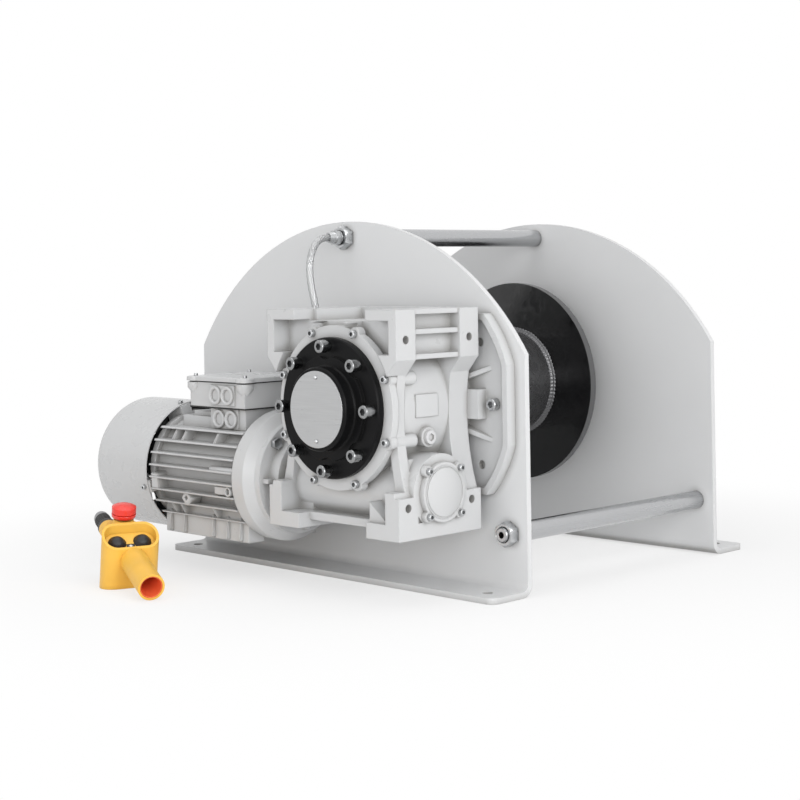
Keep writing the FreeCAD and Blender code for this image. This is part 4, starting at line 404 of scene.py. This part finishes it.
def make_materials():
    """Every finish on the winch, by name."""
    return {
        "plate": paint("plate_paint", (0.68, 0.685, 0.69), roughness=0.34, peel=800, depth=0.00007,
                       edge=0.0012),
        "cast": paint("cast_paint", WHITE, roughness=0.3, peel=420, depth=0.0002, edge=0.003),
        "smooth": paint("sheet_paint", WHITE, roughness=0.28, peel=900, depth=0.00004, edge=0.0004),
        # The black and magnet paints take their own colours for the painted shade in corners
        "black": paint("black_paint", (0.006, 0.006, 0.0065), roughness=0.3, peel=420, depth=0.0002,
                       edge=0.0012, shade_colour=(0.012, 0.012, 0.012), gloss=0.1),
        "magnet": paint("magnet_paint", (0.02, 0.02, 0.022), roughness=0.5, peel=420, depth=0.0002,
                        edge=0.001, shade_colour=(0.03, 0.03, 0.03)),
        "plug": paint("oil_plug_paint", (0.62, 0.62, 0.63), roughness=0.4, peel=500, depth=0.0002,
                      edge=0.0008),
        "rod": zinc_coat(),
        "badge": brushed_badge(),
        "bolt": metal("bolt_steel", (0.34, 0.345, 0.35), roughness=0.24, grain=260, depth=0.00012),
        "zinc": metal("zinc_plate", (0.58, 0.59, 0.60), roughness=0.26, grain=120, depth=0.0001),
        "steel": metal("bare_steel", (0.46, 0.46, 0.47), roughness=0.34, grain=190, depth=0.00012,
                       stretch=(1, 0.15, 1)),
        "bronze": metal("bronze", (0.55, 0.36, 0.14), roughness=0.32, grain=160, depth=0.0001,
                        stretch=(1, 1, 0.2)),
        "cage": metal("rotor_aluminium", (0.60, 0.61, 0.62), roughness=0.4, grain=90, depth=0.0002,
                      stretch=(0.1, 1, 1)),
        "braid": metal("steel_braid", (0.44, 0.445, 0.45), roughness=0.3, grain=900, depth=0.0002, edge=0.0),
        "rim": rope_steel("dark_steel", (0.004, 0.004, 0.0045), roughness=0.12, metallic=0.0,
                          turned=(0.09, 0.09, 0.092)),
        "barrel": rope_steel("barrel_steel", (0.17, 0.17, 0.175), roughness=0.26, metallic=0.75),
        "weld": rope_steel("weld_steel", (0.14, 0.14, 0.145), roughness=0.24, metallic=0.8),
        "fan": plastic("fan_plastic", (0.05, 0.05, 0.05), roughness=0.5, grain=700, depth=0.0002),
        "yellow": plastic("yellow_plastic", (0.92, 0.53, 0.075), roughness=0.42, grain=900, depth=0.00018),
        "gland": plastic("black_plastic", (0.022, 0.022, 0.023), roughness=0.46, grain=800, depth=0.0002),
        "cap": plastic("grey_plastic", (0.30, 0.30, 0.31), roughness=0.45, grain=800, depth=0.0002),
        "rubber": plastic("black_rubber", (0.016, 0.016, 0.017), roughness=0.5, grain=900, depth=0.00015),
        "red": plastic("red_plastic", (0.86, 0.045, 0.03), roughness=0.22, grain=500, depth=0.0001),
        "liner": plastic("liner_plastic", (1.0, 0.2, 0.07), roughness=0.44, grain=700, depth=0.0002),
        "stem": plastic("stem_plastic", (0.05, 0.05, 0.05), roughness=0.45, grain=700, depth=0.0001),
        "mark": plastic("mark_plastic", (0.80, 0.80, 0.79), roughness=0.5, grain=700, depth=0.0001),
        "gasket": plastic("gasket_rubber", (0.03, 0.03, 0.03), roughness=0.7, grain=600, depth=0.0002),
    }


# The nodes that take each finish
FINISHES = {
    "plate": "near_side_plate far_side_plate axle_socket",
    "cast": "gearbox_flange gearbox_housing gearbox_side_cover worm_end_cover drive_end_shield "
            "stator_housing rear_end_shield terminal_neck terminal_box",
    "smooth": "fan_cowl terminal_lid",
    "black": "bearing_cover",
    "magnet": "brake_magnet",
    "plug": "oil_plug",
    "rod": "top_tie_rod left_tie_rod right_tie_rod",
    "badge": "nameplate",
    "bolt": "bearing_cover_bolts",
    "zinc": "tie_rod_nuts axle_keeper axle_keeper_bolts gearbox_flange_bolts side_cover_screws "
            "worm_cover_screws motor_flange_bolts fan_cowl_screws nameplate_screws terminal_lid_screws "
            "cable_glands drum_gear_bolts",
    "steel": "drum_axle drum_gear output_shaft output_pinion worm_shaft brake_disc output_bearings "
             "rotor_bearings drum_bearings stator_core",
    "bronze": "worm_wheel",
    "cage": "rotor_cage",
    "braid": "braided_cable",
    "rim": "near_drum_flange far_drum_flange",
    "barrel": "drum_barrel",
    "weld": "drum_welds",
    "fan": "motor_fan",
    "yellow": "pendant_housing pendant_button_plate",
    "gland": "pendant_gland",
    "rubber": "up_button down_button",
    "red": "stop_head",
    "stem": "stop_stem",
}


def dress_nodes(materials):
    for finish, names in FINISHES.items():
        for name in names.split():
            mesh = nodes[name].data
            mesh.materials.clear()
            mesh.materials.append(materials[finish])


# Mesh building blocks


def piece(name, points, faces, material, body, slot):
    """A new smooth-shaded mesh piece riding on a body."""
    mesh = bpy.data.meshes.new(name)
    mesh.from_pydata([tuple(p) for p in points], [], faces)
    build = bmesh.new()
    build.from_mesh(mesh)
    bmesh.ops.remove_doubles(build, verts=build.verts[:], dist=MERGE_DISTANCE)
    bare = [edge for edge in build.edges if not edge.link_faces]
    bmesh.ops.delete(build, geom=bare, context="EDGES")
    bmesh.ops.recalc_face_normals(build, faces=build.faces)
    build.to_mesh(mesh)
    build.free()
    mesh.polygons.foreach_set("use_smooth", [True] * len(mesh.polygons))
    mesh.set_sharp_from_angle(angle=SHARP_ANGLE)
    mesh.materials.append(material)
    item = bpy.data.objects.new(name, mesh)
    scene.collection.objects.link(item)
    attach(item, body)
    return item


def frame_on(direction):
    """A turn whose Z lies along a direction."""
    return Vector(direction).normalized().to_track_quat("Z", "Y").to_matrix()


def rings_to_tube(rings, closed_ends=True):
    """Points and faces of a tube through rings of equal count; a last ring like the first makes a torus."""
    count = len(rings[0])
    points = [p for ring in rings for p in ring]
    faces = []
    for r in range(len(rings) - 1):
        for i in range(count):
            j = (i + 1) % count
            faces.append((r * count + i, r * count + j, (r + 1) * count + j, (r + 1) * count + i))
    if closed_ends:
        faces.append(tuple(range(count - 1, -1, -1)))
        faces.append(tuple(range(len(points) - count, len(points))))
    return points, faces


def turned_point(origin, turn, radius, angle, height):
    """A point at a radius, angle and height about an axis."""
    return Vector(origin) + turn @ Vector((radius * math.cos(angle), radius * math.sin(angle), height))


def lathe(profile, origin, turn, segments, shape=None):
    """A closed half section of (radius, height) turned about an axis; shape may change a point's radius."""
    rings = []
    for radius, height in profile + profile[:1]:
        ring = []
        for i in range(segments):
            angle = 2 * math.pi * i / segments
            r = shape(radius, angle) if shape else radius
            ring.append(turned_point(origin, turn, r, angle, height))
        rings.append(ring)
    return rings_to_tube(rings, closed_ends=False)


def joined(parts):
    """One list of points and faces from several."""
    points, faces = [], []
    for some_points, some_faces in parts:
        start = len(points)
        points += some_points
        faces += [tuple(index + start for index in face) for face in some_faces]
    return points, faces


# Cable


def route_line():
    """The cable's centre line, read from a smooth spline with the route as its control points."""
    data = bpy.data.curves.new("cable_route", "CURVE")
    data.dimensions = "3D"
    spline = data.splines.new("NURBS")
    spline.points.add(len(CABLE_ROUTE) - 1)
    for point, place in zip(spline.points, CABLE_ROUTE):
        point.co = (*place, 1)
    spline.order_u = 3
    spline.use_endpoint_u = True
    spline.resolution_u = 44
    item = bpy.data.objects.new("cable_route", data)
    scene.collection.objects.link(item)
    mesh = bpy.data.meshes.new_from_object(item)
    line = [v.co.copy() for v in mesh.vertices]
    bpy.data.objects.remove(item)
    bpy.data.curves.remove(data)
    bpy.data.meshes.remove(mesh)
    return line


def braid_rings(line, sides=72, strands=9, pitch=0.034, depth=0.0007, weave=0.35):
    """Rings along a line whose surface rises in strands that wind both ways, over and under each other."""
    rings, reach = [], 0.0
    normal = Vector((1, 0, 0))
    for i, spot in enumerate(line):
        ahead = line[min(i + 1, len(line) - 1)] - line[max(i - 1, 0)]
        tangent = ahead.normalized()
        normal = (normal - tangent * normal.dot(tangent)).normalized()
        across = tangent.cross(normal)
        reach += (spot - line[i - 1]).length if i else 0
        turn = 2 * math.pi * strands * reach / pitch / 3
        ring = []
        for s in range(sides):
            angle = 2 * math.pi * s / sides
            left = math.cos(strands * angle + turn)
            right = math.cos(strands * angle - turn)
            over = math.sin(strands * angle) * math.sin(turn)
            height = max(left + weave * over, right - weave * over)
            radius = CABLE_RADIUS - depth + depth * height / (1 + weave)
            ring.append(spot + (normal * math.cos(angle) + across * math.sin(angle)) * radius)
        rings.append(ring)
    return rings, reach


def braided_cable(materials):
    line = route_line()
    rings, length = braid_rings(line)
    points, faces = rings_to_tube(rings)
    cable = piece("cable_braid", points, faces, materials["braid"], "frame", "steel_braid")
    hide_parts("braided_cable")


# Tie rods and drum


def chamfered_nut(across, height, bore):
    """Half section of a nut with rounded corners top and bottom, and the shape that makes it six-sided."""
    six_sided = math.inf
    rim = across / 2 * 0.985
    corner = 0.16 * height
    lead = 0.0012
    profile = [(bore, 0), (rim, 0), (six_sided, corner * 0.6), (six_sided, height - corner), (rim, height),
               (bore + lead, height), (bore, height - lead)]

    def shape(radius, angle):
        if radius != six_sided:
            return radius
        return across / 2 / math.cos((angle + math.pi / 6) % (math.pi / 3) - math.pi / 6)

    return profile, shape


def thread(origin, turn, low, high, radius, pitch=0.00175, depth=0.0007, steps=12, sides=48):
    """A short screw thread as a rippled sleeve."""
    rings = []
    for k in range(steps + 1):
        height = low + (high - low) * k / steps
        ring = []
        for i in range(sides):
            angle = 2 * math.pi * i / sides
            wave = 0.5 + 0.5 * math.cos(2 * math.pi * (height / pitch) - angle)
            ring.append(turned_point(origin, turn, radius - depth * (1 - wave), angle, height))
        rings.append(ring)
    return rings_to_tube(rings, closed_ends=False)


def tie_rod_ends(materials):
    """Chamfered nuts and threaded rod ends outside each side plate."""
    nuts, threads = [], []
    profile, shape = chamfered_nut(NUT_ACROSS, NUT_HEIGHT, NUT_BORE)
    thread_low, thread_high = NUT_HEIGHT + 0.0002, NUT_HEIGHT + 0.0039
    for side in (-1, 1):
        turn = frame_on((0, side, 0))
        for x, z in ROD_SPOTS:
            origin = (x, side * PLATE_FACE, z)
            nuts.append(lathe(profile, origin, turn, 72, shape))
            threads.append(thread(origin, turn, thread_low, thread_high, ROD_THREAD + 0.0002))
    nut_set = piece("tie_rod_nut_set", *joined(nuts), materials["zinc"], "frame", "zinc_plate")
    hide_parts("tie_rod_nuts")
    piece("rod_end_threads", *joined(threads), materials["rod"], "frame", "galvanised_steel")


def weld_section(leg, steps=8):
    """A hollow fillet weld between barrel and rim, as (radius, distance from the drum's middle)."""
    root_radius, root_depth = 0.0966, 0.1802
    section = []
    for i in range(steps + 1):
        bend = math.pi / 2 * i / steps
        reach = leg * (1 - 0.31 * math.sin(bend * 2) ** 2)
        section.append((root_radius + reach * math.cos(bend), root_depth - reach * math.sin(bend)))
    section.append((root_radius - 0.0004, root_depth + 0.0002))
    return section


def drum_weld_beads(materials, leg=0.0078, steps=360):
    """Rippled fillet welds where the barrel meets its rims."""
    beads = []
    for side in (-1, 1):
        rings = []
        for k in range(steps + 1):
            angle = 2 * math.pi * k / steps
            swell = 1 + 0.10 * math.cos(angle * 90) + 0.05 * math.sin(angle * 13)
            rings.append([DRUM_AXIS + Vector((r * math.cos(angle), side * depth, r * math.sin(angle)))
                          for r, depth in weld_section(leg * swell)])
        beads.append(rings_to_tube(rings, closed_ends=False))
    bead = piece("drum_weld_beads", *joined(beads), materials["weld"], "drum", "dark_steel")
    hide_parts("drum_welds")


# Pendant


def on_pendant(x, y, z):
    """A point of the pendant's own frame, given in millimetres."""
    return PENDANT_PLACE + PENDANT_TURN @ Vector((x, y, z)) / 1000


def pendant_gland(materials):
    """The ribbed cord gland with its grey cap, at the tail of the pendant."""
    turn = frame_on(PENDANT_TURN @ Vector((-1, 0, 0)))
    origin = on_pendant(*GLAND_SPOT)
    bore, valley, crest = 0.0065, 0.0122, 0.0138
    first_rib, rib_pitch, rib_count = 0.011, 0.0048, 6
    profile = [(bore, 0), (0.016, 0), (0.016, 0.0085), (0.0148, 0.010)]
    for k in range(rib_count):
        low = first_rib + rib_pitch * k
        profile += [(valley, low), (valley, low + 0.0016), (crest, low + 0.0024), (crest, low + 0.0042)]
    profile += [(valley, 0.0402), (bore, 0.0402)]
    cap = [(bore, 0.0404), (0.0128, 0.0404), (0.0128, 0.049), (0.0112, 0.0545), (0.0068, 0.055),
           (bore, 0.0545)]
    sleeve = piece("cord_gland_sleeve", *lathe(profile, origin, turn, 56), materials["gland"], "pendant",
                   "black_plastic")
    piece("cord_gland_cap", *lathe(cap, origin, turn, 56), materials["cap"], "pendant", "black_plastic")
    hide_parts("pendant_gland")


def stop_skirt(materials):
    """The lower edge of the stop button's mushroom, which hides its stem."""
    turn = frame_on(PENDANT_TURN @ Vector((0, 0, 1)))
    profile = [(0.0182, 0.0154), (0.0192, 0.0150), (0.0201, 0.0160), (0.0207, 0.0204), (0.0200, 0.0215),
               (0.0165, 0.0208), (0.0165, 0.0199), (0.0180, 0.0190)]
    piece("stop_skirt", *lathe(profile, on_pendant(*STOP_SPOT), turn, 72), materials["red"], "stop_head",
          "red_plastic")


def grip_liner(materials):
    """The coloured sleeve inside the hollow grip."""
    turn = frame_on(PENDANT_TURN @ Vector((1, 0, 0)))
    profile = [(0.0184, 0.045), (0.0184, 0.1378), (0.0179, 0.1384), (0.0170, 0.1380), (0.0170, 0.045)]
    piece("grip_liner", *lathe(profile, on_pendant(*GRIP_SPOT), turn, 56), materials["liner"], "pendant",
          "red_plastic")


def on_button_face(u, v, w):
    """A point over the pendant's slanted button face, in millimetres: u towards the grip, w outwards."""
    slant = math.radians(FACE_TILT)
    x = u * math.cos(slant) + w * math.sin(slant)
    z = w * math.cos(slant) - u * math.sin(slant)
    return on_pendant(x, v, z)


def face_tile(outline, low, high, ease):
    """A flat tile on the button face, drawn in a little towards its top."""
    middle_u = sum(u for u, v in outline) / len(outline)
    middle_v = sum(v for u, v in outline) / len(outline)
    rings = []
    for w, share in ((low, 1), (high - ease, 1), (high, 1 - ease / 3)):
        rings.append([on_button_face(middle_u + (u - middle_u) * share, middle_v + (v - middle_v) * share, w)
                      for u, v in outline])
    return rings_to_tube(rings)


def button_legend(materials):
    """A small dark tile between the buttons with a plain arrow on it."""
    tile = [(8.4, -7), (18, -7), (18.8, -6.2), (18.8, 6.2), (18, 7), (8.4, 7), (7.6, 6.2), (7.6, -6.2)]
    arrow = [(9, 0), (13, -4.4), (13, -1.7), (17.4, -1.7), (17.4, 1.7), (13, 1.7), (13, 4.4)]
    piece("legend_tile", *face_tile(tile, low=-13.02, high=-12.1, ease=0.2), materials["rubber"], "pendant",
          "black_rubber")
    piece("legend_arrow", *face_tile(arrow, low=-12.2, high=-11.9, ease=0.1), materials["mark"], "pendant",
          "white_paint")


# Motor and terminal box


def block(corners, x, thick, edge=0.0012):
    """A plate of the motor casting, thick along X: an outline of (y, z) about the motor's axis, eased."""
    build = bmesh.new()
    rings = [[build.verts.new(MOTOR_AXIS + Vector((x + side * thick / 2, y, z))) for y, z in corners]
             for side in (-1, 1)]
    count = len(corners)
    build.faces.new(rings[0])
    build.faces.new(reversed(rings[1]))
    for i in range(count):
        j = (i + 1) % count
        build.faces.new((rings[0][j], rings[0][i], rings[1][i], rings[1][j]))
    bmesh.ops.recalc_face_normals(build, faces=build.faces)
    bmesh.ops.bevel(build, geom=build.edges[:], offset=edge, segments=2, affect="EDGES")
    build.verts.index_update()
    points = [v.co.copy() for v in build.verts]
    faces = [tuple(v.index for v in face.verts) for face in build.faces]
    build.free()
    return points, faces


def fin_webs():
    """Upright webs between the two highest and the two lowest fins, on both sides of the motor."""
    inner, outer = 2.5 * FIN_PITCH, 3.5 * FIN_PITCH
    rows = [(1, x) for x in (-0.227, -0.200, -0.110)] + [(-1, x) for x in (-0.230, -0.205, -0.115)]
    webs = []
    for level, x in rows:
        for side in (-1, 1):
            corners = [(side * 0.097, level * inner), (side * 0.0835, level * outer),
                       (side * 0.05, level * outer), (side * 0.071, level * inner)]
            webs.append(block(corners, x, thick=0.0045))
    return webs


def diamond(radius, angle):
    """A ring radius that makes a square on its corner, with its corners rounded."""
    square = 1 / (abs(math.cos(angle)) + abs(math.sin(angle)))
    return radius * min(1, 0.9 * square + 0.12)


def fin_bosses():
    """Cast bosses on the fins: a diamond pad, a screw eye and its seat, a round stub, a lug by the cowl."""
    left, right = STATOR_SPAN
    outward = frame_on((0, -1, 0))
    along = frame_on((1, 0, 0))
    pad = [(0, 0.080), (0.0135, 0.080), (0.0135, 0.104), (0.0115, 0.1065), (0.0052, 0.1065),
           (0.0046, 0.1055), (0.0046, 0.101), (0, 0.101)]
    eye = [(0, 0.085), (0.0088, 0.085), (0.0088, 0.1085), (0.0078, 0.1105), (0.0055, 0.1105),
           (0.0048, 0.109), (0.0044, 0.1035), (0, 0.1035)]
    stub = [(0, 0.006), (0.0036, 0.006), (0.0036, 0), (0.0056, 0), (0.0064, 0.0012), (0.0064, 0.063),
            (0, 0.063)]
    seat = [(-0.085, -0.030), (-0.1075, -0.029), (-0.1085, -0.014), (-0.085, -0.013)]
    lug = [(-0.085, -0.034), (-0.1105, -0.031), (-0.1125, -0.004), (-0.085, -0.001)]
    pad_spot = MOTOR_AXIS + Vector((-0.175, 0, -1.95 * FIN_PITCH))
    eye_spot = MOTOR_AXIS + Vector((right - 0.014, 0, -FIN_PITCH))
    stub_spot = MOTOR_AXIS + Vector((right - 0.064, -0.1035, 0.6 * FIN_PITCH))
    return [lathe(pad, pad_spot, outward, 64, diamond), lathe(eye, eye_spot, outward, 48),
            lathe(stub, stub_spot, along, 40), block(seat, right - 0.036, thick=0.032),
            block(lug, left + 0.013, thick=0.020)]


def foot_ribs():
    """Ribs down the outer faces of the foot pads."""
    low, high = -0.109, -0.07
    ribs = []
    for side in (-1, 1):
        corners = [(side * 0.074, low), (side * 0.083, low), (side * 0.079, high), (side * 0.074, high)]
        for x in (-0.255, -0.215, -0.135, -0.095, -0.06):
            ribs.append(block(corners, x, thick=0.006))
    return ribs


def motor_castings(materials):
    piece("motor_castings", *joined(fin_webs() + fin_bosses() + foot_ribs()), materials["cast"], "frame",
          "white_paint")


def band_loop(low, high, thick):
    """A thin rectangular band round a box."""
    spots = ((low.x, low.y), (high.x, low.y), (high.x, high.y), (low.x, high.y))
    corners = [Vector((x, y, 0)) for x, y in spots]
    middle = (low + high) / 2
    rings = []
    for z, grow in ((low.z, 0), (low.z, thick), (high.z, thick), (high.z, 0)):
        rings.append([corner + Vector((math.copysign(grow, corner.x - middle.x),
                                       math.copysign(grow, corner.y - middle.y), z)) for corner in corners])
    return rings_to_tube(rings + rings[:1], closed_ends=False)


def terminal_gaskets(materials):
    """Dark seals under the terminal box's lid and between the box and its base."""
    low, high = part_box("terminal_box")
    inset, half, proud = 0.0012, 0.0011, 0.0009
    bands = [band_loop(Vector((TERMINAL_X[0], TERMINAL_Y[0], z - half)),
                       Vector((TERMINAL_X[1], TERMINAL_Y[1], z + half)), proud)
             for z in (high.z - inset, low.z + inset)]
    piece("terminal_gaskets", *joined(bands), materials["gasket"], "frame", "black_rubber")


def lid_lugs(materials):
    """Rounded screw lugs under the corners of the terminal box's lid, and the tabs above them."""
    upright = frame_on((0, 0, 1))
    low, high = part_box("terminal_lid_screws")
    lid_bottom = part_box("terminal_lid")[0].z
    screw_radius = 0.0033
    lug = [(0, -0.026), (0.004, -0.026), (0.0148, -0.012), (0.0148, -0.0026), (0, -0.0026)]
    tab = [(0, -0.0002), (0.0162, -0.0002), (0.0162, 0.0058), (0.0146, 0.0074), (0, 0.0074)]
    spots = [(x, y, lid_bottom) for x in (low.x + screw_radius, high.x - screw_radius)
             for y in (low.y + screw_radius, high.y - screw_radius)]
    lugs = [lathe(lug, spot, upright, 48) for spot in spots]
    tabs = [lathe(tab, spot, upright, 48) for spot in spots]
    piece("lid_lugs", *joined(lugs), materials["cast"], "frame", "white_paint")
    piece("lid_tabs", *joined(tabs), materials["smooth"], "frame", "white_paint")


def knockout_rims(materials):
    """Deep rounded rims round the cable entries of the terminal box and of its base."""
    turn = frame_on((0, -1, 0))
    rim = [(0.0098, 0), (0.0158, 0), (0.0164, 0.0022), (0.0158, 0.0042), (0.0143, 0.0050), (0.0122, 0.0048),
           (0.0108, 0.0036)]
    rims = [lathe(rim, (x, y, z), turn, 56) for y, z in KNOCKOUT_FACES for x in KNOCKOUT_X]
    piece("knockout_rims", *joined(rims), materials["cast"], "frame", "white_paint")


# Gearbox


def worm_cover_rings(materials):
    """The raised bead round the worm end cover's flat disc, and the low step inside it."""
    low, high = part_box("worm_end_cover")
    origin = (high.x, (low.y + high.y) / 2, (low.z + high.z) / 2)
    turn = frame_on((1, 0, 0))
    bead = [(0.0402, -0.0004), (0.0424, -0.0004), (0.0422, 0.0007), (0.0416, 0.0011), (0.0409, 0.0010),
            (0.0404, 0.0006)]
    step = [(0, -0.0004), (0.0388, -0.0004), (0.0386, 0.0006), (0.0378, 0.0010), (0, 0.0010)]
    piece("worm_cover_rings", *joined([lathe(bead, origin, turn, 80), lathe(step, origin, turn, 80)]),
          materials["cast"], "frame", "white_paint")


aim_camera()
studio()
floor()
finishes = make_materials()
braided_cable(finishes)
dress_nodes(finishes)
tie_rod_ends(finishes)
drum_weld_beads(finishes)
pendant_gland(finishes)
stop_skirt(finishes)
grip_liner(finishes)
button_legend(finishes)
terminal_gaskets(finishes)
motor_castings(finishes)
lid_lugs(finishes)
knockout_rims(finishes)
worm_cover_rings(finishes)
